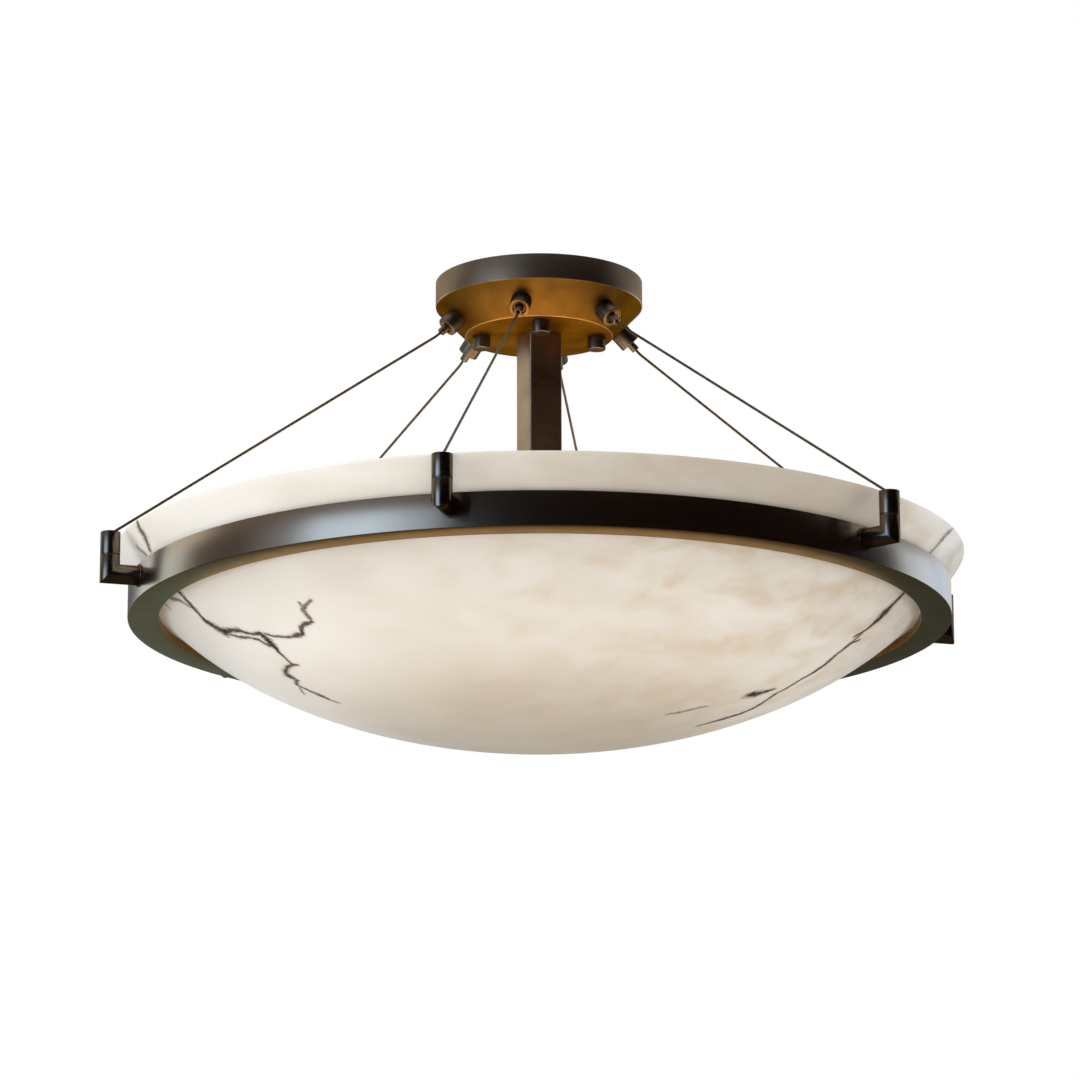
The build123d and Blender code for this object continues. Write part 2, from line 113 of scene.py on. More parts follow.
# ---------------------------------------------------------------- sizes and colours
class CeilingLightSizes(bpy.types.PropertyGroup):
    """Sizes of the ceiling light's pieces."""

    canopy_radius: length("Canopy radius", "Radius of the canopy's wall", CANOPY_TOP.x)
    canopy_depth: length("Canopy depth", "Height of the canopy below the ceiling", -CANOPY_LOW.z)
    canopy_wall: length("Canopy wall height", "Height of the canopy's straight wall", 18.5 * MM)
    canopy_disc: length("Canopy disc radius", "Radius of the canopy's flat disc", 53.7 * MM)
    canopy_sheet: length("Canopy sheet", "Thickness of the canopy's sheet", 1.2 * MM)
    canopy_bevel: length("Canopy bevel", "Width of the bevel on the canopy's bends", 0.7 * MM)
    stem_width: length("Stem width", "Width of the square stem across its flats", 25.4 * MM)
    stem_wall: length("Stem wall", "Thickness of the stem's wall", 1.5 * MM)
    stem_corner: length("Stem corner", "Radius of the stem's corners", 1.6 * MM)
    stem_turn: angle("Stem turn", "Turn of the stem about the light's axis", 35.6)
    thumb_nut_radius: length("Thumb nut radius", "Radius of a thumb nut", 6.5 * MM)
    thumb_nut_place: length("Thumb nut place", "Distance of a thumb nut from the axis", 42.0 * MM)
    grip_place: length("Grip place", "Distance of a grip's seat from the axis", 62.6187 * MM)
    grip_level: length("Grip level", "Depth of a grip's seat below the ceiling", 31.5586 * MM)
    grip_radius: length("Grip radius", "Radius of a grip's barrel", 7.5 * MM)
    grip_length: length("Grip length", "Length of a grip's barrel", 11.5 * MM)
    plunger_radius: length("Plunger radius", "Radius of a grip's plunger", 2.9 * MM)
    plunger_out: length("Plunger reach", "How far a plunger stands out of its grip", 6.0 * MM)
    ring_radius: length("Ring radius", "Outer radius of the ring", RING_TOP.x)
    ring_flange: length("Ring flange", "Width of the ring's flange", 22.0 * MM)
    ring_wall: length("Ring wall", "Thickness of the ring's walls", 3.0 * MM)
    ring_lip: length("Ring lip", "Height of the ring's inner lip", 6.4 * MM)
    elbow_radius: length("Elbow radius", "Radius of an elbow's tube", 7.0 * MM)
    elbow_place: length("Elbow place", "Distance of an elbow's barrel from the axis", ELBOW_TOP.y - 7 * MM)
    arm_lift: length("Arm lift", "Height of the elbows' arms above the ring's middle", 2.8 * MM)
    cap_height: length("Cap height", "Height of a cap above its elbow", CAPS_TOP.z - ELBOW_TOP.z)
    washer_radius: length("Washer radius", "Radius of the washer behind an elbow", 8.0 * MM)
    rope_radius: length("Rope radius", "Radius of a wire rope", 1.0 * MM)
    rope_pitch: length("Rope pitch", "Length of one turn of a rope's strands", 12.5 * MM)
    rope_strands: IntProperty(name="Rope strands", description="Strands round a core", default=6, min=3)
    bowl_radius: length("Bowl radius", "Outer radius of the bowl at its rim", 305.6 * MM)
    bowl_centre: length("Bowl curve centre", "Height of the curve's centre above the rim", 72.8 * MM)
    bowl_wall: length("Bowl wall", "Thickness of the bowl", 5.0 * MM)
    bulb_radius: length("Bulb radius", "Radius of a bulb's ball", 30.0 * MM)


class CeilingLightColours(bpy.types.PropertyGroup):
    """Colours of the ceiling light's finishes."""

    bronze: colour("Bronze", "Dark bronze of the ring, the canopy and the stem", (0.34, 0.265, 0.19))
    bronze_dark: colour("Dark bronze", "Darker clouds in the bronze", (0.20, 0.14, 0.095))
    bronze_pale: colour("Pale bronze", "Patches where the bronze has faded", (0.46, 0.42, 0.37))
    # Painted warm reflection: the lit bowl's glow on the canopy's disc and cone, put into their colour.
    bronze_warm: colour("Warm bronze", "Bronze of the canopy's disc and cone", (0.24, 0.12, 0.022))
    bronze_canopy: colour("Canopy bronze", "Bronze of the canopy's wall", (0.22, 0.165, 0.115))
    # Painted warm reflection: the lit bowl's glow on the ring's underside and bore, put into their colour.
    bronze_under: colour("Ring underside", "Bronze of the ring's underside", (0.27, 0.14, 0.05))
    bronze_fitting: colour("Fittings", "Bronze of the elbows, caps and grips", (0.20, 0.165, 0.13))
    # Painted warm highlight: the lit bowl's light on the grips' end faces and the plungers' tips, put into
    # their colour.
    brass: colour("Brass", "Brass that shows on the ends of the grips", (0.28, 0.16, 0.055))
    bronze_stem: colour("Stem bronze", "Bronze of the stem", (0.37, 0.26, 0.18))
    rope: colour("Rope", "Wires of the ropes", (0.17, 0.125, 0.08))
    stone: colour("Stone", "Main tone of the bowl", paint(238, 234, 227))
    stone_white: colour("White stone", "Whiter clouds in the bowl", paint(247, 245, 241))
    # Warm clouds in the bowl, and painted shade on its right side and at its bottom.
    stone_warm: colour("Warm stone", "Warmer clouds in the bowl", paint(219, 203, 180))
    # Painted shade on the band of the bowl above the ring, mostly on its right.
    stone_grey: colour("Grey stone", "Greyer part of the band above the ring", paint(196, 187, 174))
    vein: colour("Vein", "Darkest part of the bowl's veins", paint(30, 21, 16))
    vein_edge: colour("Vein edge", "Brown edge of the bowl's veins", paint(120, 84, 56))
    lamp: colour("Lamp", "Light of the bulbs", (1.0, 0.64, 0.32))


def sizes():
    return bpy.context.scene.ceiling_light_sizes


def colours():
    return bpy.context.scene.ceiling_light_colours


# ---------------------------------------------------------------- modelling
def deselect():
    bpy.ops.object.select_all(action="DESELECT")


def select(*pieces):
    """Makes the pieces the only ones selected, and the first one active."""
    deselect()
    for piece in pieces:
        piece.select_set(True)
    bpy.context.view_layer.objects.active = pieces[0]


def name_piece(piece, name):
    piece.name = name
    piece.data.name = name


def settle():
    """Puts the active piece's place, turn and scale into its mesh."""
    bpy.ops.object.transform_apply(location=True, rotation=True, scale=True)


def apply_place(piece, place=(0, 0, 0), turn=(0, 0, 0)):
    """Turns and moves a piece, and puts that into its mesh."""
    select(piece)
    piece.rotation_euler = turn
    piece.location = place
    settle()


def modify(piece, kind, **settings):
    """Gives the piece a modifier with its settings, and applies it."""
    select(piece)
    modifier = piece.modifiers.new("shaping", kind)
    for name, value in settings.items():
        setattr(modifier, name, value)
    bpy.ops.object.modifier_apply(modifier="shaping")


def mend_faces(gap):
    """In edit mode, merges points that are closer than the gap, and turns all faces outwards."""
    bpy.ops.mesh.select_all(action="SELECT")
    bpy.ops.mesh.remove_doubles(threshold=gap)
    bpy.ops.mesh.normals_make_consistent(inside=False)


def block(name, size, place):
    """New box with its middle at a place."""
    deselect()
    bpy.ops.mesh.primitive_cube_add(size=1, location=place)
    piece = bpy.context.object
    name_piece(piece, name)
    piece.scale = size
    settle()
    return piece


def spun(name, profile, steps, turn=2 * math.pi):
    """New piece of (radius, height) points spun about the light's axis, started along X."""
    deselect()
    bpy.ops.mesh.primitive_plane_add(size=MM, location=(0, 0, 0))
    piece = bpy.context.object
    name_piece(piece, name)
    bpy.ops.object.mode_set(mode="EDIT")
    bpy.ops.mesh.select_mode(type="VERT")
    bpy.ops.mesh.select_all(action="SELECT")
    bpy.ops.mesh.merge(type="CENTER")
    radius, height = profile[0]
    bpy.ops.transform.translate(value=(radius, 0, height))
    for next_radius, next_height in profile[1:]:
        move = (next_radius - radius, 0, next_height - height)
        bpy.ops.mesh.extrude_region_move(TRANSFORM_OT_translate={"value": move})
        radius, height = next_radius, next_height
    bpy.ops.mesh.select_all(action="SELECT")
    bpy.ops.mesh.spin(steps=steps, angle=turn, center=(0, 0, 0), axis=(0, 0, 1))
    mend_faces(0.002 * MM)
    bpy.ops.object.mode_set(mode="OBJECT")
    return piece


def bevel(piece, width, segments=3, limit=30):
    """Rounds the piece's edges that are sharper than the limit in degrees."""
    modify(piece, "BEVEL", width=width, segments=segments, limit_method="ANGLE",
           angle_limit=math.radians(limit), harden_normals=False)


def hollow(piece, wall):
    """Gives an open shell its wall, on the inside."""
    modify(piece, "SOLIDIFY", thickness=wall, offset=-1)


def smooth(piece, limit=32):
    """Shades the piece smooth, but for edges that are sharper than the limit in degrees."""
    select(piece)
    bpy.ops.object.shade_smooth_by_angle(angle=math.radians(limit))


def finish_piece(piece, finish):
    piece.data.materials.append(FINISHES[finish])


def lathed(name, profile, finish, steps, edge, segments=3, limit=30):
    """New piece spun all the way round, with its edges rounded and its finish."""
    piece = spun(name, profile, steps)
    bevel(piece, edge, segments, limit)
    smooth(piece)
    finish_piece(piece, finish)
    return piece


def cut(piece, cutter):
    """Takes the cutter's shape out of the piece."""
    modify(piece, "BOOLEAN", operation="DIFFERENCE", solver="EXACT", object=cutter)
    remove(cutter)


def remove(piece):
    select(piece)
    bpy.ops.object.delete()


def join(pieces, name):
    select(*pieces)
    if len(pieces) > 1:
        bpy.ops.object.join()
    name_piece(pieces[0], name)
    return pieces[0]


def turned_copies(piece, turns, name):
    """Copies of the piece turned about the light's axis. The piece itself goes."""
    made = []
    for number, turn in enumerate(turns, 1):
        select(piece)
        bpy.ops.object.duplicate(linked=False)
        copy = bpy.context.object
        name_piece(copy, f"{name}_{number}")
        apply_place(copy, turn=(0, 0, turn))
        made.append(copy)
    remove(piece)
    return made


def pick_faces(piece, wanted):
    """Goes to edit mode with only the faces selected that wanted(centre, normal) is true for."""
    select(piece)
    bpy.ops.object.mode_set(mode="EDIT")
    bpy.ops.mesh.select_mode(type="FACE")
    bpy.ops.mesh.select_all(action="DESELECT")
    bpy.ops.object.mode_set(mode="OBJECT")
    for face in piece.data.polygons:
        face.select = wanted(face.center, face.normal)
    bpy.ops.object.mode_set(mode="EDIT")


def paint_faces(piece, finish, wanted):
    """Gives a further finish to the faces that wanted(centre, normal) is true for."""
    finish_piece(piece, finish)
    number = len(piece.data.materials) - 1
    for face in piece.data.polygons:
        if wanted(face.center, face.normal):
            face.material_index = number


# ---------------------------------------------------------------- finishes
FINISHES = {}
VEIN_LAYERS = ("vein_gap", "vein_width", "vein_depth")


def new_finish(name, metallic, roughness):
    """New material, its shader and the object's own coordinates."""
    finish = bpy.data.materials.new(name)
    finish.use_nodes = True
    shader = finish.node_tree.nodes["Principled BSDF"]
    shader.inputs["Metallic"].default_value = metallic
    shader.inputs["Roughness"].default_value = roughness
    place = finish.node_tree.nodes.new("ShaderNodeTexCoord").outputs["Object"]
    return finish, shader, place


def node(tree, kind, inputs, **settings):
    """New node of a kind, with its settings, and its inputs linked or set."""
    made = tree.nodes.new("ShaderNode" + kind)
    for name, value in settings.items():
        setattr(made, name, value)
    for socket, value in inputs.items():
        if isinstance(value, bpy.types.NodeSocket):
            tree.links.new(value, made.inputs[socket])
        else:
            made.inputs[socket].default_value = value
    return made


def feed(shader, name, value):
    """Links a value to one of the shader's inputs."""
    shader.id_data.links.new(value, shader.inputs[name])


def noise(place, size, detail=3.0, roughness=0.55, distortion=0.0):
    """Noise with blotches of about the given size."""
    inputs = {
        "Vector": place, "Scale": 1 / size, "Detail": detail,
        "Roughness": roughness, "Distortion": distortion,
    }
    return node(place.id_data, "TexNoise", inputs).outputs["Fac"]


def stretched(place, upright):
    """The place, with its height scaled, so that noise is flattened by as much."""
    return node(place.id_data, "Mapping", {"Vector": place, "Scale": (1, 1, upright)}).outputs["Vector"]


def spread(value, low, high, to_low=0.0, to_high=1.0, kind="LINEAR"):
    """The value, mapped from one range to another and held inside it."""
    inputs = {0: value, 1: low, 2: high, 3: to_low, 4: to_high}
    return node(value.id_data, "MapRange", inputs, interpolation_type=kind, clamp=True).outputs[0]


def eased(value, low, high, to_low=0.0, to_high=1.0):
    """The same as spread, with soft ends."""
    return spread(value, low, high, to_low, to_high, "SMOOTHSTEP")


def maths(operation, first, second):
    return node(first.id_data, "Math", {0: first, 1: second}, operation=operation).outputs[0]


def mixed(factor, first, second):
    """Colour between two colours."""
    def value(entry):
        return entry if isinstance(entry, bpy.types.NodeSocket) else (*entry, 1.0)
    inputs = {0: factor, 6: value(first), 7: value(second)}
    return node(factor.id_data, "Mix", inputs, data_type="RGBA").outputs[2]


def bump(shader, height, strength, distance):
    inputs = {"Height": height, "Strength": strength, "Distance": distance}
    feed(shader, "Normal", node(shader.id_data, "Bump", inputs).outputs[0])


def bronze_finish(name, base, dark, roughness, cloud=0.07, depth=1.0, fading=0.0, brushed=True,
                  edge=(0.7, 0.6, 0.5)):
    """Dark bronze with clouds and specks. Faded patches and fine brush marks are for some pieces."""
    finish, shader, place = new_finish(name, 1.0, roughness)
    shader.inputs["Specular Tint"].default_value = (*edge, 1)
    clouds = noise(place, cloud, 4.0, 0.6, 0.4)
    tone = mixed(eased(clouds, 0.35, 0.68, 1.0 - depth), dark, base)
    if fading:
        patches = noise(place, 0.11, 5.0, 0.62, 0.8)
        tone = mixed(eased(patches, 0.52, 0.72, 0.0, fading), tone, colours().bronze_pale)
    specks = noise(place, 0.0035, 2.0, 0.5)
    tone = mixed(spread(specks, 0.66, 0.74, 0.0, 0.45 * depth), tone, dark)
    feed(shader, "Base Color", tone)
    grain = noise(place, 0.02)
    if brushed:
        marks = noise(stretched(place, 45), 0.03)
        grain = maths("ADD", maths("MULTIPLY", grain, 0.5), maths("MULTIPLY", marks, 0.5))
    polished, dulled = roughness - 0.07 * depth, roughness + 0.09 * depth
    feed(shader, "Roughness", spread(grain, 0.3, 0.7, polished, dulled))
    bump(shader, noise(place, 0.0011, 2.0), 0.05, 0.0002)
    return finish


def metal_finish(name, base, dark, roughness, cloud):
    """Plain metal with a light tarnish."""
    finish, shader, place = new_finish(name, 1.0, roughness)
    tarnish = noise(place, cloud, 4.0, 0.6, 0.3)
    feed(shader, "Base Color", mixed(spread(tarnish, 0.35, 0.7), base, dark))
    feed(shader, "Roughness", spread(tarnish, 0.3, 0.75, roughness - 0.06, roughness + 0.12))
    bump(shader, noise(place, 0.0008, 2.0), 0.06, 0.0001)
    return finish


def moulded_finish(name, base, dark, roughness):
    """Ceramic, paint or rubber with slight mottling."""
    finish, shader, place = new_finish(name, 0.0, roughness)
    mottling = noise(place, 0.012)
    feed(shader, "Base Color", mixed(spread(mottling, 0.3, 0.7), base, dark))
    feed(shader, "Roughness", spread(mottling, 0.3, 0.7, roughness - 0.05, roughness + 0.05))
    bump(shader, noise(place, 0.0012, 2.0), 0.08, 0.0001)
    return finish


def rope_finish(name, base):
    """Wires, darker where dirt has gathered along the strands."""
    finish, shader, place = new_finish(name, 1.0, 0.42)
    wires = noise(place, 0.0012, 3.0, 0.6)
    feed(shader, "Base Color", mixed(spread(wires, 0.35, 0.65), base, shade(base, 0.35)))
    feed(shader, "Roughness", spread(wires, 0.3, 0.7, 0.34, 0.52))
    bump(shader, wires, 0.25, 0.0001)
    return finish


def stone_tone(side, clouds, blotches):
    """Clouded stone, with painted shade: warmer and darker to the right and at the bottom, and greyer in
    the band above the ring.
    """
    tones = colours()
    tone = mixed(eased(clouds, 0.36, 0.7), tones.stone, tones.stone_white)
    # Warm clouds, stronger towards the right, where they are painted shade on the side away from the light.
    warm = maths("MULTIPLY", eased(blotches, 0.30, 0.82), eased(side["X"], -0.16, 0.24, 0.10, 0.9))
    tone = mixed(warm, tone, tones.stone_warm)
    # Painted shade on the band above the ring, mostly right of the middle.
    band_start = eased(side["X"], -0.06, 0.20, 0.05, 0.75)
    band_end = eased(side["X"], 0.25, 0.285, 1.0, 0.0)
    above_ring = eased(side["Z"], -0.262, -0.235)
    band = maths("MULTIPLY", maths("MULTIPLY", band_start, band_end), above_ring)
    tone = mixed(band, tone, tones.stone_grey)
    # Painted warm shade towards the bottom.
    return mixed(eased(side["Z"], -0.345, -0.29, 0.60, 0.0), tone, tones.stone_warm)


def veined(place, tone):
    """The tone with frayed veins, which follow the vein attributes of the mesh in millimetres."""
    tones = colours()
    gap, width, depth = (
        node(place.id_data, "Attribute", {}, attribute_name=name).outputs["Fac"]
        for name in VEIN_LAYERS
    )
    fraying = spread(noise(place, 0.0032, 5.0, 0.62, 0.3), 0.3, 0.7, -1.0, 1.0)
    reach = maths("ADD", maths("MULTIPLY", width, 0.3), 0.45)
    gap = maths("ADD", gap, maths("MULTIPLY", fraying, reach))
    halo = eased(maths("DIVIDE", gap, maths("ADD", width, 2.0)), -0.1, 0.85, 0.75, 0.0)
    strands = spread(noise(place, 0.0015, 3.0, 0.6), 0.34, 0.52, 0.45)
    core = maths("MULTIPLY", eased(gap, -0.2, 0.9, 1.0, 0.0), strands)
    tone = mixed(maths("MULTIPLY", halo, depth), tone, tones.vein_edge)
    return mixed(maths("MULTIPLY", core, depth), tone, tones.vein)


def stone_finish(name):
    """Veined alabaster look that glows a little, most of all between its bottom and the ring."""
    finish, shader, place = new_finish(name, 0.0, 0.36)
    shader.inputs["Specular IOR Level"].default_value = 0.14
    side = node(place.id_data, "SeparateXYZ", {0: place}).outputs
    clouds = noise(stretched(place, 1.8), 0.10, 4.0, 0.5, 0.35)
    blotches = noise(stretched(place, 2.2), 0.035, 4.0, 0.5, 0.4)
    tone = veined(place, stone_tone(side, clouds, blotches))
    feed(shader, "Base Color", tone)
    feed(shader, "Emission Color", tone)
    low_glow = eased(side["Z"], -0.338, -0.312, 0.18, 0.33)
    high_glow = eased(side["Z"], -0.308, -0.245, 0.33, 0.09)
    feed(shader, "Emission Strength", maths("MINIMUM", low_glow, high_glow))
    feed(shader, "Roughness", spread(blotches, 0.3, 0.7, 0.32, 0.42))
    bump(shader, noise(place, 0.006), 0.04, 0.0004)
    return finish


def frosted_finish(name, base, glow):
    """Frosted bulb glass, lit from inside."""
    finish, shader, place = new_finish(name, 0.0, 0.35)
    tone = mixed(spread(noise(place, 0.012, 2.0), 0.3, 0.7), base, glow)
    feed(shader, "Base Color", tone)
    feed(shader, "Emission Color", tone)
    shader.inputs["Emission Strength"].default_value = 2.4
    return finish


def shade(tone, share):
    """Darker version of a colour."""
    return tuple(share * channel for channel in tone)


def make_finishes():
    """Makes each finish once, from the colours in the panel."""
    tones = colours()
    bronze, fitting = (tones.bronze, tones.bronze_dark), tones.bronze_fitting
    # The first two colours here are painted warm reflections of the lit bowl, for the ring's underside and
    # for the canopy's disc and cone.
    under, warm, stem = tones.bronze_under, tones.bronze_warm, tones.bronze_stem
    FINISHES.update(
        ring=bronze_finish("ring_bronze", *bronze, 0.25, depth=0.12, brushed=False, edge=(1, 1, 1)),
        # The ring's underside and bore get a warmer copy of the bronze, which is painted warm reflection of
        # the lit bowl.
        ring_under=bronze_finish("ring_under_bronze", under, shade(under, 0.7), 0.3, depth=0.3,
                                 brushed=False, edge=(0.95, 0.80, 0.58)),
        canopy=bronze_finish("canopy_bronze", tones.bronze_canopy, tones.bronze_dark, 0.42, depth=0.6,
                             fading=0.1),
        # The canopy's disc and cone get a warmer copy of the bronze, which is painted warm reflection of
        # the lit bowl.
        canopy_under=bronze_finish("canopy_under_bronze", warm, shade(warm, 0.55), 0.44, brushed=False,
                                   edge=(0.62, 0.40, 0.22)),
        stem=bronze_finish("stem_bronze", stem, shade(stem, 0.75), 0.38),
        fitting=bronze_finish("fitting_bronze", fitting, shade(fitting, 0.6), 0.24, depth=0.5,
                              brushed=False, edge=(0.4, 0.32, 0.24)),
        knob=bronze_finish("knob_bronze", shade(fitting, 0.85), shade(fitting, 0.5), 0.4, cloud=0.01,
                           depth=0.6, brushed=False, edge=(0.45, 0.34, 0.24)),
        hub=bronze_finish("hub_bronze", *bronze, 0.38, cloud=0.03),
        # Painted warm highlight for the grips' ends and the plungers' tips.
        brass=metal_finish("worn_brass", tones.brass, (0.18, 0.095, 0.03), 0.42, 0.006),
        # Painted highlight lines along the canopy's bends.
        worn=metal_finish("worn_bronze", (0.42, 0.24, 0.07), (0.30, 0.16, 0.05), 0.4, 0.02),
        rope=rope_finish("wire_rope", tones.rope),
        zinc=metal_finish("zinc_steel", (0.62, 0.62, 0.60), (0.45, 0.45, 0.44), 0.35, 0.008),
        ground=moulded_finish("ground_green", paint(58, 128, 74), paint(44, 104, 60), 0.45),
        socket=metal_finish("socket_brass", (0.80, 0.60, 0.30), (0.62, 0.43, 0.19), 0.3, 0.01),
        bulb_cap=metal_finish("bulb_cap_metal", (0.72, 0.71, 0.69), (0.55, 0.54, 0.52), 0.25, 0.006),
        bulb=frosted_finish("bulb_glass", (1.0, 0.93, 0.82), (1.0, 0.84, 0.64)),
        ceramic=moulded_finish("holder_ceramic", paint(236, 232, 222), paint(224, 218, 205), 0.25),
        seat=moulded_finish("seat_silicone", paint(222, 216, 204), paint(205, 198, 184), 0.55),
        stone=stone_finish("bowl_stone_look"),
    )


# ---------------------------------------------------------------- canopy and thumb nuts
def cone_slope():
    """Angle between the canopy's cone and the ceiling."""
    s = sizes()
    return math.atan2(s.canopy_depth - s.canopy_wall, s.canopy_radius - s.canopy_disc)


def build_canopy():
    s = sizes()
    bottom, wall_end = -s.canopy_depth, -s.canopy_wall
    inner_disc = s.canopy_disc - s.canopy_sheet * math.tan(cone_slope() / 2)
    inner_bend = wall_end + s.canopy_sheet * math.tan(math.pi / 4 - cone_slope() / 2)
    inner_radius = s.canopy_radius - s.canopy_sheet
    canopy = spun("canopy_shell", [
        (0, bottom), (s.canopy_disc, bottom), (s.canopy_radius, wall_end), (s.canopy_radius, 0),
        (inner_radius, 0), (inner_radius, inner_bend), (inner_disc, bottom + s.canopy_sheet),
        (0, bottom + s.canopy_sheet),
    ], 192)
    bevel(canopy, s.canopy_bevel)
    smooth(canopy, 20)
    finish_piece(canopy, "canopy")
    worn_reach = 0.75 * MM

    def on_bend(centre, radius, height):
        return math.hypot(math.hypot(centre.x, centre.y) - radius, centre.z - height) < worn_reach

    # Faces below the wall take the painted warm reflection of the lit bowl.
    paint_faces(canopy, "canopy_under", lambda centre, normal: centre.z < wall_end - 0.2 * MM)
    # The bevels at the canopy's two bends take a painted highlight line.
    paint_faces(canopy, "worn", lambda centre, normal: on_bend(centre, s.canopy_radius, wall_end)
                or on_bend(centre, s.canopy_disc, bottom))
    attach(canopy, "root")
    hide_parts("canopy")


def build_thumb_nuts():
    s = sizes()
    low, high = NUT_LOW.z, NUT_TOP.z
    bore = 2.55 * MM
    bore_end = high - 7.5 * MM
    nut = lathed("thumb_nut", [
        (0, low), (s.thumb_nut_radius, low), (s.thumb_nut_radius, high), (bore, high), (bore, bore_end),
        (0, bore_end),
    ], "knob", 72, 0.9 * MM, 4)
    apply_place(nut, (s.thumb_nut_place, 0, 0))
    for number, copy in enumerate(turned_copies(nut, NUT_TURNS, "clamp_nut"), 1):
        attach(copy, f"thumb_nut_{number}")
        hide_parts(f"thumb_nut_{number}")


# ---------------------------------------------------------------- stem and hub
def build_stem():
    s = sizes()
    tall = STEM_TOP.z - STEM_LOW.z
    stem = block("stem_tube", (s.stem_width, s.stem_width, tall), (0, 0, (STEM_LOW.z + STEM_TOP.z) / 2))
    bpy.ops.object.mode_set(mode="EDIT")
    bpy.ops.mesh.select_mode(type="EDGE")
    bpy.ops.mesh.select_all(action="DESELECT")
    bpy.ops.object.mode_set(mode="OBJECT")
    for edge in stem.data.edges:
        low, high = [stem.data.vertices[number].co.z for number in edge.vertices]
        edge.select = abs(high - low) > MM
    bpy.ops.object.mode_set(mode="EDIT")
    bpy.ops.mesh.bevel(offset=s.stem_corner, segments=6, affect="EDGES")
    bpy.ops.object.mode_set(mode="OBJECT")
    pick_faces(stem, lambda centre, normal: abs(normal.z) > 0.9)
    bpy.ops.mesh.delete(type="ONLY_FACE")
    bpy.ops.mesh.select_all(action="SELECT")
    bpy.ops.mesh.normals_make_consistent(inside=False)
    bpy.ops.object.mode_set(mode="OBJECT")
    hollow(stem, s.stem_wall)
    smooth(stem, 40)
    apply_place(stem, turn=(0, 0, s.stem_turn))
    finish_piece(stem, "stem")
    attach(stem, "root")
    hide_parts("stem")


HUB_RADIUS = 22.0 * MM
HUB_WALL = 2.5 * MM


def build_hub():
    low, top, inner, bore = HUB_LOW.z, HUB_TOP.z, HUB_RADIUS - HUB_WALL, 5.05 * MM
    body = spun("hub_cup", [
        (bore, top), (HUB_RADIUS, top), (HUB_RADIUS, low), (inner, low), (inner, top - HUB_WALL),
        (bore, top - HUB_WALL), (bore, top),
    ], 128)
    bevel(body, 0.5 * MM)
    boss_bore, boss_radius, start, end = 4.8 * MM, 9.0 * MM, 20.0 * MM, HOLDER_BACK
    boss = spun("boss", [
        (boss_bore, start), (boss_radius, start), (boss_radius, end), (boss_bore, end), (boss_bore, start),
    ], 64)
    bevel(boss, 0.3 * MM, 2)
    apply_place(boss, (0, 0, LAMP_LEVEL), SIDEWAYS)
    hub = join([body] + turned_copies(boss, LAMP_TURNS, "boss"), "hub_body")
    smooth(hub)
    finish_piece(hub, "hub")
    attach(hub, "root")
    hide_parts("hub")


def build_hub_cover():
    low, bore, knob_seat = HUB_LOW.z, 3.05 * MM, 8 * MM
    spigot = HUB_RADIUS - HUB_WALL - 0.05 * MM
    spigot_top = low + 5 * MM
    cover = lathed("hub_lid", [
        (bore, low), (spigot - HUB_WALL, low), (spigot - HUB_WALL, spigot_top), (spigot, spigot_top),
        (spigot, low), (HUB_RADIUS, low), (HUB_RADIUS, low - 2 * MM), (knob_seat, COVER_LOW),
        (bore, COVER_LOW), (bore, low),
    ], "hub", 128, 0.4 * MM)
    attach(cover, "root")
    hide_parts("hub_cover")


def build_hub_finial():
    low, dome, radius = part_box("hub_finial")[0].z, 3.5 * MM, 7.0 * MM
    ball = (radius ** 2 + dome ** 2) / (2 * dome)
    half = math.asin(radius / ball)
    turns = [half * i / 12 for i in range(13)]
    arc = [(ball * math.sin(turn), low + ball - ball * math.cos(turn)) for turn in turns]
    stud, stud_top = 3 * MM, COVER_LOW + 7.5 * MM
    top = [(radius, COVER_LOW), (stud, COVER_LOW), (stud, stud_top), (0, stud_top)]
    finial = lathed("hub_knob", arc + top, "hub", 96, 0.4 * MM, 2, 50)
    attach(finial, "root")
    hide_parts("hub_finial")


# ---------------------------------------------------------------- lampholders and bulbs
def build_lampholders():
    holder = lathed("holder", in_mm(
        (4.85, 0), (12, 0), (12, 5), (17, 8), (17, 37.5), (19.5, 40), (19.5, 46), (13.9, 46), (13.9, 15),
        (4.85, 15), (4.85, 0),
    ), "ceramic", 96, 0.6 * MM, 3, 25)
    apply_place(holder, (HOLDER_BACK, 0, LAMP_LEVEL), SIDEWAYS)
    for number, copy in enumerate(turned_copies(holder, LAMP_TURNS, "lamp_socket"), 1):
        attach(copy, "root")
        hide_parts(f"lampholder_{number}")


def build_bulb_screws():
    """Screw bases, with the rounded thread as rings."""
    start = 18.8
    thread = [(13, start + 6.2), (13, start + 6.5)]
    for ring in range(4):
        for step in range(8):
            height = start + 7 + 3.2 * ring + 0.4 * step
            thread.append((12.35 + 0.6 * math.cos(step * math.pi / 4), height))
    contact = [(0, 16.8), (4.5, 16.8), (4.5, start), (12.4, start + 4)]
    base = spun("base", in_mm(*contact, *thread, (12.9, start + 20.6), (13, 40.8), (0, 40.8)), 96)
    smooth(base, 40)
    finish_piece(base, "bulb_cap")
    apply_place(base, (HOLDER_BACK, 0, LAMP_LEVEL), SIDEWAYS)
    for number, copy in enumerate(turned_copies(base, LAMP_TURNS, "bulb_screw"), 1):
        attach(copy, f"bulb_{number}")
        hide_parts(f"bulb_base_{number}")


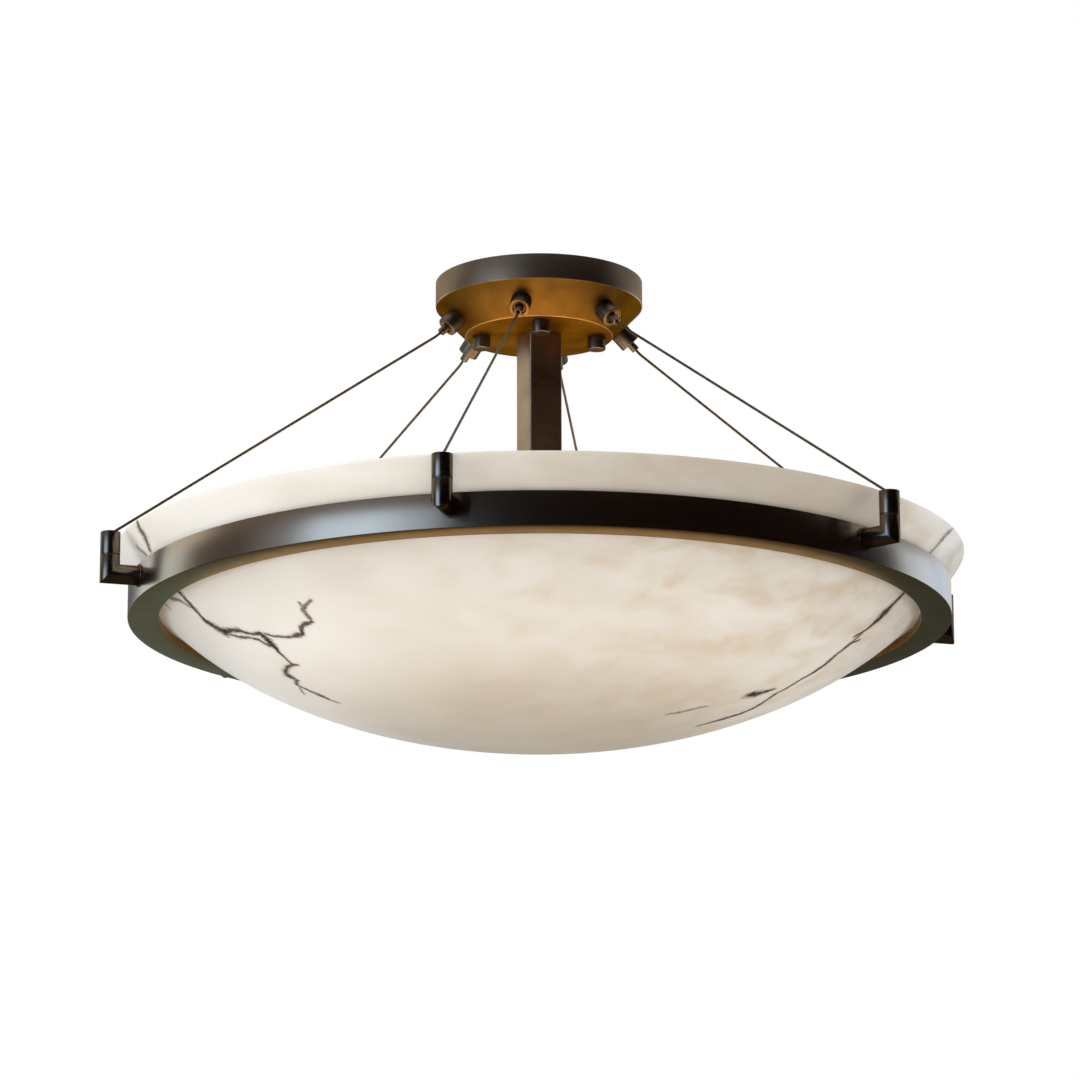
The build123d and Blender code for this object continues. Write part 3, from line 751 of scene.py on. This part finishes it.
def build_bulb_globes():
    """Bulb glasses: a ball that runs into the neck along a smooth curve."""
    ball, centre, flare = sizes().bulb_radius, 93.8 * MM, math.radians(125)

    def on_ball(turn):
        return ball * math.sin(turn), centre + ball * math.cos(turn)

    neck_low, neck_end = in_mm((12.6, 40.8), (12.6, 47.3))
    start, end = Vector(neck_end), Vector(on_ball(flare))
    reach = (end - start).length * 0.9
    handle = start + Vector((0, reach / 2))
    back = end - Vector((-math.cos(flare), math.sin(flare))) * reach / 2
    profile = [neck_low]
    for t in [step / 12 for step in range(13)]:
        u = 1 - t
        profile.append(u ** 3 * start + 3 * u ** 2 * t * handle + 3 * u * t ** 2 * back + t ** 3 * end)
    profile += [on_ball(flare * (1 - step / 28)) for step in range(1, 28)]
    profile.append((0, centre + ball))
    glass = spun("glass", profile, 96)
    hollow(glass, 1.0 * MM)
    smooth(glass, 60)
    finish_piece(glass, "bulb")
    apply_place(glass, (HOLDER_BACK, 0, LAMP_LEVEL), SIDEWAYS)
    for number, copy in enumerate(turned_copies(glass, LAMP_TURNS, "bulb_globe"), 1):
        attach(copy, f"bulb_{number}")
        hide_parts(f"bulb_glass_{number}")


# ---------------------------------------------------------------- ring and elbows
def build_ring():
    s = sizes()
    outer, inner = s.ring_radius, s.ring_radius - s.ring_flange
    band_in, lip_out = outer - s.ring_wall, inner + s.ring_wall
    low, high = RING_LOW.z, RING_TOP.z
    shelf, lip = low + s.ring_wall, low + s.ring_lip
    ring = lathed("ring_band", [
        (inner, low), (outer, low), (outer, high), (band_in, high), (band_in, shelf), (lip_out, shelf),
        (lip_out, lip), (inner, lip), (inner, low),
    ], "ring", 256, 0.5 * MM)

    def in_bore(centre, normal):
        return math.hypot(centre.x, centre.y) < lip_out - 0.2 * MM and normal.z < 0.9

    # Downward faces and the bore take the painted warm reflection of the lit bowl.
    paint_faces(ring, "ring_under", lambda centre, normal: normal.z < -0.5 or in_bore(centre, normal))
    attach(ring, "root")
    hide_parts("ring")


def pipe(name, radius, low, high):
    """Capped round bar along Z, with its facets lined up with the axes."""
    deselect()
    bpy.ops.mesh.primitive_cylinder_add(
        vertices=64, radius=radius, depth=high - low, location=(0, 0, (low + high) / 2)
    )
    bar = bpy.context.object
    name_piece(bar, name)
    settle()
    return bar


def halve(piece, point, normal):
    """Cuts off all that is beyond a plane, and leaves the cut open."""
    select(piece)
    bpy.ops.object.mode_set(mode="EDIT")
    bpy.ops.mesh.select_all(action="SELECT")
    bpy.ops.mesh.bisect(plane_co=point, plane_no=normal, clear_outer=True)
    bpy.ops.object.mode_set(mode="OBJECT")


def arm_height():
    """Height of the elbows' arms, a little above the middle of the ring."""
    return (RING_LOW.z + RING_TOP.z) / 2 + sizes().arm_lift


def build_elbows():
    s = sizes()
    arm_start, arm_level, top = ELBOW_LOW.y, arm_height(), ELBOW_TOP.z
    corner, spare = (s.elbow_place, 0, arm_level), 20 * MM
    arm = pipe("arm", s.elbow_radius, 0, s.elbow_place + spare - arm_start)
    apply_place(arm, (arm_start, 0, arm_level), SIDEWAYS)
    halve(arm, corner, (1, 0, 1))
    barrel = pipe("barrel", s.elbow_radius, arm_level - spare, top)
    apply_place(barrel, (s.elbow_place, 0, 0))
    halve(barrel, corner, (-1, 0, -1))
    elbow = join([arm, barrel], "elbow")
    bpy.ops.object.mode_set(mode="EDIT")
    mend_faces(0.01 * MM)
    bpy.ops.object.mode_set(mode="OBJECT")
    pick_faces(elbow, lambda centre, normal: normal.z > 0.99 and centre.z > top - 0.1 * MM)
    bpy.ops.mesh.inset(thickness=s.elbow_radius - 4.45 * MM)
    bpy.ops.mesh.extrude_region_move(TRANSFORM_OT_translate={"value": (0, 0, -13.5 * MM)})
    bpy.ops.object.mode_set(mode="OBJECT")
    bevel(elbow, 0.25 * MM, 2, 34)
    smooth(elbow)
    finish_piece(elbow, "fitting")
    for number, copy in enumerate(turned_copies(elbow, SPOKES, "elbow_tube"), 1):
        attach(copy, "root")
        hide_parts(f"elbow_{number}")


def build_caps():
    """Caps with a shadow gap above the elbow, and a slot where the rope leaves inwards."""
    s = sizes()
    outer, hole, spigot = s.elbow_radius, 1.6 * MM, 4.4 * MM
    joint, top = ELBOW_TOP.z, ELBOW_TOP.z + s.cap_height
    spigot_end, gap = joint - 5 * MM, 0.6 * MM
    cap = spun("cap", [
        (hole, spigot_end), (spigot, spigot_end), (spigot, joint), (outer - gap, joint),
        (outer - gap, joint + gap), (outer, joint + gap), (outer, top), (hole, top), (hole, spigot_end),
    ], 96)
    bevel(cap, 0.25 * MM, 3, 50)
    cutter = block("slot", (outer + 2 * MM, 2 * hole, 13 * MM), (-outer / 2 - MM, 0, top))
    bevel(cutter, 1.2 * MM, 4)
    cut(cap, cutter)
    smooth(cap)
    finish_piece(cap, "fitting")
    apply_place(cap, (s.elbow_place, 0, 0))
    caps = join(turned_copies(cap, SPOKES, "cap"), "rope_caps")
    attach(caps, "root")
    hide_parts("cable_caps")


def build_washers():
    s = sizes()
    hole, outer, thick = 2.3 * MM, s.washer_radius, 1.2 * MM
    profile = [(hole, 0), (outer, 0), (outer, thick), (hole, thick), (hole, 0)]
    washer = lathed("washer", profile, "fitting", 72, 0.3 * MM)
    apply_place(washer, (s.ring_radius, 0, arm_height()), SIDEWAYS)
    washers = join(turned_copies(washer, SPOKES, "washer"), "elbow_collars")
    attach(washers, "root")
    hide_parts("elbow_washers")


# ---------------------------------------------------------------- grips
def seat_grip_part(piece):
    """Moves a piece that was made along Z onto the canopy's cone, pointing out of it."""
    s = sizes()
    apply_place(piece, (s.grip_place, 0, -s.grip_level), (0, math.pi - cone_slope(), 0))


def build_grip_barrels():
    s = sizes()
    low, long, outer = -0.4 * MM, s.grip_length, s.grip_radius
    bore, recess, recess_end = s.plunger_radius + 0.05 * MM, 4.7 * MM, s.grip_length - 1.5 * MM
    barrel = lathed("grip", [
        (bore, low), (outer, low), (outer, long), (recess, long), (recess, recess_end), (bore, recess_end),
        (bore, low),
    ], "knob", 72, 0.9 * MM, 4, 50)
    ring_start, ring_out = long - 2.2 * MM, outer - 0.3 * MM
    # The end face and its recess take the painted warm highlight.
    paint_faces(barrel, "brass", lambda centre, normal: centre.z > ring_start
                and math.hypot(centre.x, centre.y) < ring_out)
    seat_grip_part(barrel)
    for number, copy in enumerate(turned_copies(barrel, SPOKES, "grip_barrel"), 1):
        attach(copy, "root")
        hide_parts(f"grip_body_{number}")


def build_plungers():
    s = sizes()
    outer, tip = s.plunger_radius, s.grip_length + s.plunger_out
    hole, flange, flange_low, flange_top = 1.3 * MM, 3.85 * MM, 5.1 * MM, 6.3 * MM
    plunger = lathed("plunger", [
        (hole, flange_low), (flange, flange_low), (flange, flange_top), (outer, flange_top), (outer, tip),
        (hole, tip), (hole, flange_low),
    ], "knob", 64, 0.7 * MM, 4, 50)
    # The plunger's tip takes the painted warm highlight.
    paint_faces(plunger, "brass", lambda centre, normal: centre.z > tip - 0.75 * MM)
    seat_grip_part(plunger)
    for number, copy in enumerate(turned_copies(plunger, SPOKES, "grip_button"), 1):
        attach(copy, f"grip_plunger_{number}")
        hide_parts(f"grip_plunger_{number}")


# ---------------------------------------------------------------- wire ropes
# A rope's route from its stop to its end in the canopy: distance from the axis and height in mm.
ROPE_ROUTE = [
    (316.0, -239.0), (316.0, -219.0), (316.0, -212.4), (309.4, -207.9),
    (83.2, -50.3), (78.2, -46.9), (73.9, -42.6), (50.4, -19.4),
]


def rope_line():
    """Points along a rope's centre line, read from the smooth curve of its route."""
    route = bpy.data.curves.new("rope_route", "CURVE")
    route.dimensions = "3D"
    route.resolution_u = 24
    line = route.splines.new("NURBS")
    line.points.add(len(ROPE_ROUTE) - 1)
    for point, (radius, height) in zip(line.points, ROPE_ROUTE):
        point.co = (radius * MM, 0, height * MM, 1)
    line.order_u = 3
    line.use_endpoint_u = True
    holder = bpy.data.objects.new("rope_route", route)
    bpy.context.collection.objects.link(holder)
    bpy.context.view_layer.update()
    mesh = bpy.data.meshes.new_from_object(holder)
    points = [vertex.co.copy() for vertex in mesh.vertices]
    bpy.data.objects.remove(holder)
    bpy.data.meshes.remove(mesh)
    bpy.data.curves.remove(route)
    return points


def even_points(points, step):
    """Points a step apart along a line of points, each with the line's direction there."""
    found = []
    left = 0.0
    for start, end in zip(points, points[1:]):
        run = (end - start).length
        if run < 1e-9:
            continue
        way = (end - start) / run
        while left <= run:
            found.append((start + way * left, way))
            left += step
        left -= run
    return found


def build_ropes():
    """Strands round a core, each as thick as it."""
    s = sizes()
    wire = s.rope_radius / 3
    steps_a_turn = 12
    centres = even_points(rope_line(), s.rope_pitch / steps_a_turn)
    strands = bpy.data.curves.new("strands", "CURVE")
    strands.dimensions = "3D"
    strands.bevel_depth = wire
    strands.bevel_resolution = 1
    strands.use_fill_caps = True
    across = Vector((0, 1, 0))
    for strand in range(s.rope_strands + 1):
        out = 0 if strand == s.rope_strands else 2 * wire
        line = strands.splines.new("POLY")
        line.points.add(len(centres) - 1)
        for step, (point, way) in enumerate(centres):
            turn = 2 * math.pi * (step / steps_a_turn + strand / s.rope_strands)
            offset = across * math.cos(turn) + way.cross(across) * math.sin(turn)
            line.points[step].co = (*(point + offset * out), 1)
    rope = bpy.data.objects.new("rope", strands)
    bpy.context.collection.objects.link(rope)
    select(rope)
    bpy.ops.object.convert(target="MESH")
    rope = bpy.context.object
    bpy.ops.object.shade_smooth()
    rope.data.materials.clear()
    finish_piece(rope, "rope")
    for number, copy in enumerate(turned_copies(rope, SPOKES, "wire_rope"), 1):
        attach(copy, "root")
        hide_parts(f"cable_{number}")


# ---------------------------------------------------------------- bowl
VEIN_SWELL = 1.25
# Each vein is its darkness and its stops: millimetres along the rim, height and width in mm.
VEINS = [
    (1.0, [(-791, -253, 2.4), (-793, -258, 2.0), (-795, -262, 2.6), (-798, -266, 1.5), (-801, -270, 2.8),
           (-798, -274, 4.2), (-795, -278, 4.6), (-780, -279, 1.8)]),
    (0.95, [(-780, -279, 1.8), (-767, -281, 2.5), (-762, -283, 1.8), (-754, -285, 1.1), (-742, -286, 2.0),
            (-744, -289, 4.2), (-748, -292, 3.4), (-753, -295, 1.7), (-758, -298, 1.1), (-765, -302, 1.0)]),
    (0.85, [(-792, -279, 1.3), (-782, -283, 1.5), (-764, -286, 1.0), (-757, -288, 1.6), (-755, -292, 1.4)]),
    (0.85, [(-736, -287, 1.3), (-730, -289, 1.1), (-717, -291, 1.0), (-706, -292, 1.4), (-696, -292, 2.6),
            (-688, -292, 1.6), (-680, -289, 1.4), (-669, -288, 1.8), (-660, -288, 1.2)]),
    (0.6, [(-654, -278, 0.8), (-655, -281, 1.2), (-657, -283, 1.4)]),
    (0.7, [(-659, -287, 1.4), (-659, -285, 2.0), (-658, -282, 1.8), (-650, -280, 1.0), (-639, -278, 0.8)]),
    (0.9, [(-758, -303, 1.0), (-767, -302, 1.4), (-781, -302, 1.4), (-800, -303, 2.0), (-807, -305, 4.0),
           (-807, -307, 2.0)]),
    (0.85, [(-807, -307, 1.0), (-826, -308, 1.4), (-828, -311, 1.6), (-830, -315, 2.8), (-834, -317, 1.4),
            (-832, -319, 0.8)]),
    (0.5, [(-831, -309, 0.8), (-856, -311, 1.2)]),
    (0.7, [(-818, -252, 1.4), (-809, -254, 2.0), (-803, -257, 1.3), (-798, -262, 1.1)]),
    (0.5, [(-842, -252, 1.4), (-843, -254, 0.8)]),
    (1.0, [(-34, -253, 2.4), (-33, -259, 3.0), (-31, -264, 4.4), (-27, -269, 3.6), (-26, -273, 1.8),
           (-26, -276, 1.2), (-30, -280, 1.0)]),
    (0.9, [(-12, -280, 1.0), (-19, -283, 2.4), (-12, -290, 1.5), (-3, -294, 2.2), (5, -299, 2.0),
           (8, -303, 1.5), (19, -308, 1.6), (23, -311, 1.6), (43, -314, 1.2), (66, -317, 2.0),
           (77, -320, 3.2), (79, -323, 3.6), (84, -326, 2.0), (89, -328, 1.0)]),
    (0.7, [(-26, -276, 1.2), (-22, -280, 1.4), (-19, -283, 1.6)]),
    (0.95, [(-23, -316, 5.0), (-13, -315, 5.4), (-8, -313, 3.2), (-3, -311, 1.4)]),
    (0.5, [(-81, -331, 1.0), (-66, -329, 2.0), (-55, -326, 1.4), (-48, -325, 0.8)]),
    (0.8, [(-773, -209, 1.4), (-775, -213, 2.8), (-775, -218, 3.2), (-778, -223, 2.4), (-782, -227, 1.6)]),
    (0.6, [(-799, -221, 1.4), (-794, -227, 1.8)]),
    (0.6, [(-35, -209, 1.2), (-40, -213, 2.4), (-43, -217, 2.8), (-45, -222, 1.4), (-48, -228, 1.2)]),
]


def bowl_curve():
    """Half height and half width of the bowl's ellipse, and its centre's height."""
    s = sizes()
    half_height = s.bowl_centre + BOWL_TOP.z - BOWL_LOW.z
    half_width = s.bowl_radius / math.sqrt(1 - (s.bowl_centre / half_height) ** 2)
    return half_height, half_width, BOWL_TOP.z + s.bowl_centre


def vein_points():
    """The veins as short straight pieces on the bowl: two ends, two widths and the darkness."""
    half_height, half_width, centre = bowl_curve()
    rim = sizes().bowl_radius

    def on_bowl(along, height):
        turn = along * MM / rim
        rise = (height * MM - centre) / half_height
        radius = half_width * math.sqrt(1 - rise ** 2)
        return Vector((radius * math.cos(turn), radius * math.sin(turn), height * MM))

    found = []
    for depth, stops in VEINS:
        for start, end in zip(stops, stops[1:]):
            widths = (VEIN_SWELL * start[2] * MM, VEIN_SWELL * end[2] * MM)
            found.append((on_bowl(*start[:2]), on_bowl(*end[:2]), *widths, depth))
    return found


def from_vein(point, vein):
    """How far a point is from the edge of a straight piece of vein, and the width there."""
    start, end, first, last = vein[:4]
    run = end - start
    share = max(0.0, min(1.0, (point - start).dot(run) / run.length_squared))
    width = first + (last - first) * share
    return (point - start - run * share).length - width / 2, width


def bowl_arc(inset, count):
    """Profile of the bowl, from its bottom to its rim, set back from the outside by the inset."""
    half_height, half_width, centre = bowl_curve()
    high, wide = half_height - inset, half_width - inset
    end = math.acos((centre - BOWL_TOP.z) / high)
    turns = [end * i / count for i in range(count + 1)]
    return [(wide * math.sin(turn), centre - high * math.cos(turn)) for turn in turns]


def refine_veins(bowl, veins):
    """Gives the outside smaller faces, in three steps, the nearer the veins."""
    middle = Vector((0, 0, bowl_curve()[2]))
    for reach in (12 * MM, 7 * MM, 4 * MM):
        pick_faces(bowl, lambda at, normal: normal.dot(at - middle) > 0
                   and min(from_vein(at, vein)[0] for vein in veins) < reach)
        bpy.ops.mesh.subdivide(number_cuts=1)
        bpy.ops.object.mode_set(mode="OBJECT")


def trace_veins(bowl, veins):
    """Puts new points onto the outside's curve, and gives each point its nearest vein."""
    half_height, half_width, centre = bowl_curve()
    outside, rim_edge, far = 0.99, BOWL_TOP.z - 2 * MM, 30 * MM
    for name in VEIN_LAYERS:
        bowl.data.attributes.new(name, "FLOAT", "POINT")
    gap, width, depth = [bowl.data.attributes[name].data for name in VEIN_LAYERS]
    for number, vertex in enumerate(bowl.data.vertices):
        at = vertex.co
        out = math.hypot(math.hypot(at.x, at.y) / half_width, (at.z - centre) / half_height)
        if outside < out < 1.0 and at.z < rim_edge:
            vertex.co = (at.x / out, at.y / out, centre + (at.z - centre) / out)
        near, wide, dark = far, MM, 0.0
        if out > outside:
            for vein in veins:
                away, there = from_vein(at, vein)
                if away < near:
                    near, wide, dark = away, there, vein[4]
        gap[number].value = near / MM
        width[number].value = wide / MM
        depth[number].value = dark


def build_bowl():
    bowl = spun("bowl_shell", bowl_arc(0, 56) + bowl_arc(sizes().bowl_wall, 40)[::-1], 256)
    bevel(bowl, 2.0 * MM, 5, 40)
    veins = vein_points()
    refine_veins(bowl, veins)
    trace_veins(bowl, veins)
    smooth(bowl, 60)
    finish_piece(bowl, "stone")
    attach(bowl, "bowl")
    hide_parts("bowl")


# ---------------------------------------------------------------- hidden metal
CAD_FINISHES = {
    "ceiling_plate": "zinc",
    "plate_studs": "zinc",
    "ground_screw": "ground",
    "stem_end_plugs": "zinc",
    "stem_nipple": "zinc",
    "stem_locknuts": "zinc",
    "hub_nipple": "zinc",
    "holder_nipples": "zinc",
    "socket_shells": "socket",
    "bowl_seat": "seat",
    "elbow_screws": "zinc",
    "cable_stops": "zinc",
    "grip_studs": "zinc",
}


def finish_hidden_metal():
    for name, finish in CAD_FINISHES.items():
        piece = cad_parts[name]
        for place in piece.material_slots:
            place.material = FINISHES[finish]


# ---------------------------------------------------------------- stage
CAMERA_TURN, CAMERA_RISE, CAMERA_ROLL = 11.63, 13.87, 0.128
CAMERA_PLACE = (0.637, -3.102, -0.9749)
CAMERA_LENS = 150.7
FLOOR_LEVEL = -2.3
FLOOR_RADIUS = 7.0
FLOOR_COLOUR = (0.52, 0.45, 0.36)
AMBIENT = 0.52
PANEL_RADIUS = 4.0
BACKDROP_RADIUS = 4.1


def bare_tree(owner):
    """The node tree of a material or world, emptied."""
    owner.use_nodes = True
    owner.node_tree.nodes.clear()
    return owner.node_tree


def mixed_shaders(factor, first, second):
    """Shader between two shaders."""
    return node(factor.id_data, "MixShader", {0: factor, 1: first.outputs[0], 2: second.outputs[0]})


def light_path(tree):
    """1 for rays of the camera, of gloss and through glass, and 0 for the rest."""
    path = node(tree, "LightPath", {}).outputs
    seen = maths("MAXIMUM", path["Is Camera Ray"], path["Is Glossy Ray"])
    return maths("MAXIMUM", seen, path["Is Transmission Ray"])


def make_floor():
    """White disc, seen from above alone: plain white to the camera, and matt to the light that bounces off
    it.
    """
    floor = spun("floor", [(0, FLOOR_LEVEL), (FLOOR_RADIUS, FLOOR_LEVEL)], 64)
    finish = bpy.data.materials.new("pale_floor")
    tree = bare_tree(finish)
    matt = node(tree, "BsdfDiffuse", {"Color": (*FLOOR_COLOUR, 1)})
    bright = node(tree, "Emission", {"Color": (1, 1, 1, 1), "Strength": 1.0})
    shown = mixed_shaders(light_path(tree), matt, bright)
    back = node(tree, "NewGeometry", {}).outputs["Backfacing"]
    both = mixed_shaders(back, shown, node(tree, "BsdfTransparent", {}))
    node(tree, "OutputMaterial", {"Surface": both.outputs[0]})
    floor.data.materials.append(finish)
    if floor.data.polygons[0].normal.z < 0:
        floor.data.flip_normals()


# Reflected panels: name, start and end in degrees from the camera's side, low, high, colour.
PANELS = [
    ("dark_panel", -26, 114, -1.2, 4.5, (0.010, 0.005, 0.004)),
    ("edge_panel", -38, -26, -1.2, 0.95, (1.0, 1.45, 2.2)),
    ("cool_panel", -64, -38, -1.2, 0.95, (1.65, 2.45, 3.75)),
    ("left_panel", -80, -64, -1.2, 0.95, (0.36, 0.38, 0.44)),
    ("grey_panel", -110, -80, -1.2, 0.95, (0.13, 0.11, 0.10)),
    ("side_panel", -141, -110, -1.2, 0.95, (1.35, 1.6, 1.75)),
    ("far_left_panel", -180, -141, 0.0, 0.95, (0.10, 0.11, 0.15)),
    ("pale_panel", 113, 136, -1.2, 0.95, (1.45, 1.8, 2.3)),
    ("right_panel", 136, 152, -1.2, 0.95, (1.0, 1.28, 1.65)),
    ("high_side_panel", -148, -102, 0.95, 3.5, (1.2, 1.2, 1.15)),
    ("high_left_panel", -102, -26, 0.95, 3.5, (0.28, 0.25, 0.22)),
    ("high_right_panel", 92, 138, 0.95, 3.5, (0.55, 0.60, 0.68)),
    ("back_right_panel", 150, 180, -2.2, 0.2, (0.09, 0.15, 0.21)),
    ("back_left_panel", 180, 210, -2.2, 0.2, (0.21, 0.35, 0.47)),
    ("low_panel", -150, 150, -2.25, -1.2, (0.08, 0.055, 0.04)),
]
GROUND_LEVEL = -2.25
GROUND_COLOUR = (0.09, 0.065, 0.045)


def glossy_only(panel, tone):
    """Makes a panel that only shows in gloss, so that the metal has something to mirror."""
    finish = bpy.data.materials.new(panel.name)
    tree = bare_tree(finish)
    glow = node(tree, "Emission", {"Color": (*tone, 1), "Strength": 1.0})
    node(tree, "OutputMaterial", {"Surface": glow.outputs[0]})
    panel.data.materials.append(finish)
    for sight in ("camera", "diffuse", "shadow", "transmission", "volume_scatter"):
        setattr(panel, "visible_" + sight, False)


def make_panels():
    """Upright panels round the light, and one on the ground."""
    for name, start, end, low, high, tone in PANELS:
        radius = BACKDROP_RADIUS if name == "dark_panel" else PANEL_RADIUS
        panel = spun(name, [(radius, low), (radius, high)], 24, math.radians(end - start))
        apply_place(panel, turn=(0, 0, math.radians(FRONT + CAMERA_TURN + end)))
        glossy_only(panel, tone)
    ground = spun("ground_panel", [(0, GROUND_LEVEL), (PANEL_RADIUS, GROUND_LEVEL)], 48)
    glossy_only(ground, GROUND_COLOUR)


def make_world():
    """White to the camera, and soft light for the rest."""
    world = bpy.data.worlds.new("studio")
    bpy.context.scene.world = world
    tree = bare_tree(world)
    soft = node(tree, "Background", {"Color": (1, 1, 1, 1), "Strength": AMBIENT})
    white = node(tree, "Background", {"Color": (1, 1, 1, 1), "Strength": 1.0})
    both = mixed_shaders(light_path(tree), soft, white)
    node(tree, "OutputWorld", {"Surface": both.outputs[0]})


def area_lamp(name, place, aim, size, power, tone, seen_in_gloss=False):
    """Round lamp at a place, turned to what it lights, and hidden from the camera."""
    lamp = bpy.data.lights.new(name, "AREA")
    lamp.shape = "DISK"
    lamp.size = size
    lamp.energy = power
    lamp.color = tone
    holder = bpy.data.objects.new(name, lamp)
    holder.location = place
    holder.rotation_euler = (Vector(aim) - Vector(place)).to_track_quat("-Z", "Y").to_euler()
    holder.visible_camera = False
    holder.visible_glossy = seen_in_gloss
    bpy.context.collection.objects.link(holder)


def make_lamps():
    middle = (0, 0, -0.25)
    area_lamp("key", (-2.6, -1.9, 0.4), middle, 3.2, 66, (0.91, 0.96, 1.0))
    area_lamp("fill", (0.5, -3.2, -1.6), middle, 2.6, 42, (1.0, 0.95, 0.88))
    area_lamp("side", (3.3, 0.6, -0.5), middle, 1.8, 20, (1.0, 0.98, 0.95))
    area_lamp("bowl_glow", (0, 0, -0.205), (0, 0, 0), 0.36, 0.5, colours().lamp, True)


def make_camera():
    camera = bpy.data.cameras.new("camera")
    camera.lens = CAMERA_LENS
    camera.sensor_width = 36
    holder = bpy.data.objects.new("camera", camera)
    holder.location = CAMERA_PLACE
    turns = (90 + CAMERA_RISE, CAMERA_ROLL, CAMERA_TURN)
    holder.rotation_euler = [math.radians(turn) for turn in turns]
    bpy.context.collection.objects.link(holder)
    bpy.context.scene.camera = holder


# ---------------------------------------------------------------- operators
class LIGHT_OT_finishes(bpy.types.Operator):
    """Make the finishes from the colours in the panel"""

    bl_idname = "light.finishes"
    bl_label = "Finishes"

    def execute(self, context):
        make_finishes()
        return {"FINISHED"}


class LIGHT_OT_canopy(bpy.types.Operator):
    """Spin the stepped canopy"""

    bl_idname = "light.canopy"
    bl_label = "Canopy"

    def execute(self, context):
        build_canopy()
        return {"FINISHED"}


class LIGHT_OT_thumb_nuts(bpy.types.Operator):
    """Make the four nuts that clamp the canopy up"""

    bl_idname = "light.thumb_nuts"
    bl_label = "Thumb nuts"

    def execute(self, context):
        build_thumb_nuts()
        return {"FINISHED"}


class LIGHT_OT_stem(bpy.types.Operator):
    """Make the square stem and the lamp hub below it"""

    bl_idname = "light.stem"
    bl_label = "Stem and hub"

    def execute(self, context):
        build_stem()
        build_hub()
        build_hub_cover()
        build_hub_finial()
        return {"FINISHED"}


class LIGHT_OT_lamps(bpy.types.Operator):
    """Make the lampholders and their bulbs"""

    bl_idname = "light.lamps"
    bl_label = "Lampholders and bulbs"

    def execute(self, context):
        build_lampholders()
        build_bulb_screws()
        build_bulb_globes()
        return {"FINISHED"}


class LIGHT_OT_ring(bpy.types.Operator):
    """Spin the ring that carries the bowl"""

    bl_idname = "light.ring"
    bl_label = "Ring"

    def execute(self, context):
        build_ring()
        return {"FINISHED"}


class LIGHT_OT_elbows(bpy.types.Operator):
    """Make the elbows on the ring, with their caps and washers"""

    bl_idname = "light.elbows"
    bl_label = "Elbows and caps"

    def execute(self, context):
        build_elbows()
        build_caps()
        build_washers()
        return {"FINISHED"}


class LIGHT_OT_grips(bpy.types.Operator):
    """Make the grips that hold the ropes on the canopy's cone"""

    bl_idname = "light.grips"
    bl_label = "Grips"

    def execute(self, context):
        build_grip_barrels()
        build_plungers()
        return {"FINISHED"}


class LIGHT_OT_ropes(bpy.types.Operator):
    """Lay the strands of the six wire ropes"""

    bl_idname = "light.ropes"
    bl_label = "Wire ropes"

    def execute(self, context):
        build_ropes()
        return {"FINISHED"}


class LIGHT_OT_bowl(bpy.types.Operator):
    """Spin the stone look bowl and trace its veins"""

    bl_idname = "light.bowl"
    bl_label = "Bowl"

    def execute(self, context):
        build_bowl()
        return {"FINISHED"}


class LIGHT_OT_hidden_metal(bpy.types.Operator):
    """Give the fixings that keep their own shape a finish"""

    bl_idname = "light.hidden_metal"
    bl_label = "Fixings"

    def execute(self, context):
        finish_hidden_metal()
        return {"FINISHED"}


class LIGHT_OT_stage(bpy.types.Operator):
    """Set the floor, the reflected panels, the lamps and the camera"""

    bl_idname = "light.stage"
    bl_label = "Stage"

    def execute(self, context):
        make_floor()
        make_panels()
        make_world()
        make_lamps()
        make_camera()
        return {"FINISHED"}


OPERATORS = (
    LIGHT_OT_finishes, LIGHT_OT_canopy, LIGHT_OT_thumb_nuts, LIGHT_OT_stem, LIGHT_OT_lamps, LIGHT_OT_ring,
    LIGHT_OT_elbows, LIGHT_OT_grips, LIGHT_OT_ropes, LIGHT_OT_bowl, LIGHT_OT_hidden_metal, LIGHT_OT_stage,
)


class VIEW3D_PT_ceiling_light(bpy.types.Panel):
    """Sizes, colours and pieces of the ceiling light"""

    bl_idname = "VIEW3D_PT_ceiling_light"
    bl_label = "Ceiling light"
    bl_space_type = "VIEW_3D"
    bl_region_type = "UI"
    bl_category = "Ceiling light"

    def draw(self, context):
        for group in (context.scene.ceiling_light_sizes, context.scene.ceiling_light_colours):
            box = self.layout.box()
            for name in group.bl_rna.properties.keys():
                if name not in ("rna_type", "name"):
                    box.prop(group, name)
        for operator in OPERATORS:
            self.layout.operator(operator.bl_idname)


CLASSES = (CeilingLightSizes, CeilingLightColours, *OPERATORS, VIEW3D_PT_ceiling_light)


def register():
    for entry in CLASSES:
        bpy.utils.register_class(entry)
    bpy.types.Scene.ceiling_light_sizes = PointerProperty(type=CeilingLightSizes)
    bpy.types.Scene.ceiling_light_colours = PointerProperty(type=CeilingLightColours)


def unregister():
    del bpy.types.Scene.ceiling_light_colours
    del bpy.types.Scene.ceiling_light_sizes
    for entry in reversed(CLASSES):
        bpy.utils.unregister_class(entry)


def main():
    register()
    bpy.context.scene.view_settings.view_transform = "Standard"
    bpy.ops.light.finishes()
    bpy.ops.light.canopy()
    bpy.ops.light.thumb_nuts()
    bpy.ops.light.stem()
    bpy.ops.light.lamps()
    bpy.ops.light.ring()
    bpy.ops.light.elbows()
    bpy.ops.light.grips()
    bpy.ops.light.ropes()
    bpy.ops.light.bowl()
    bpy.ops.light.hidden_metal()
    bpy.ops.light.stage()


if __name__ == "__main__":
    main()
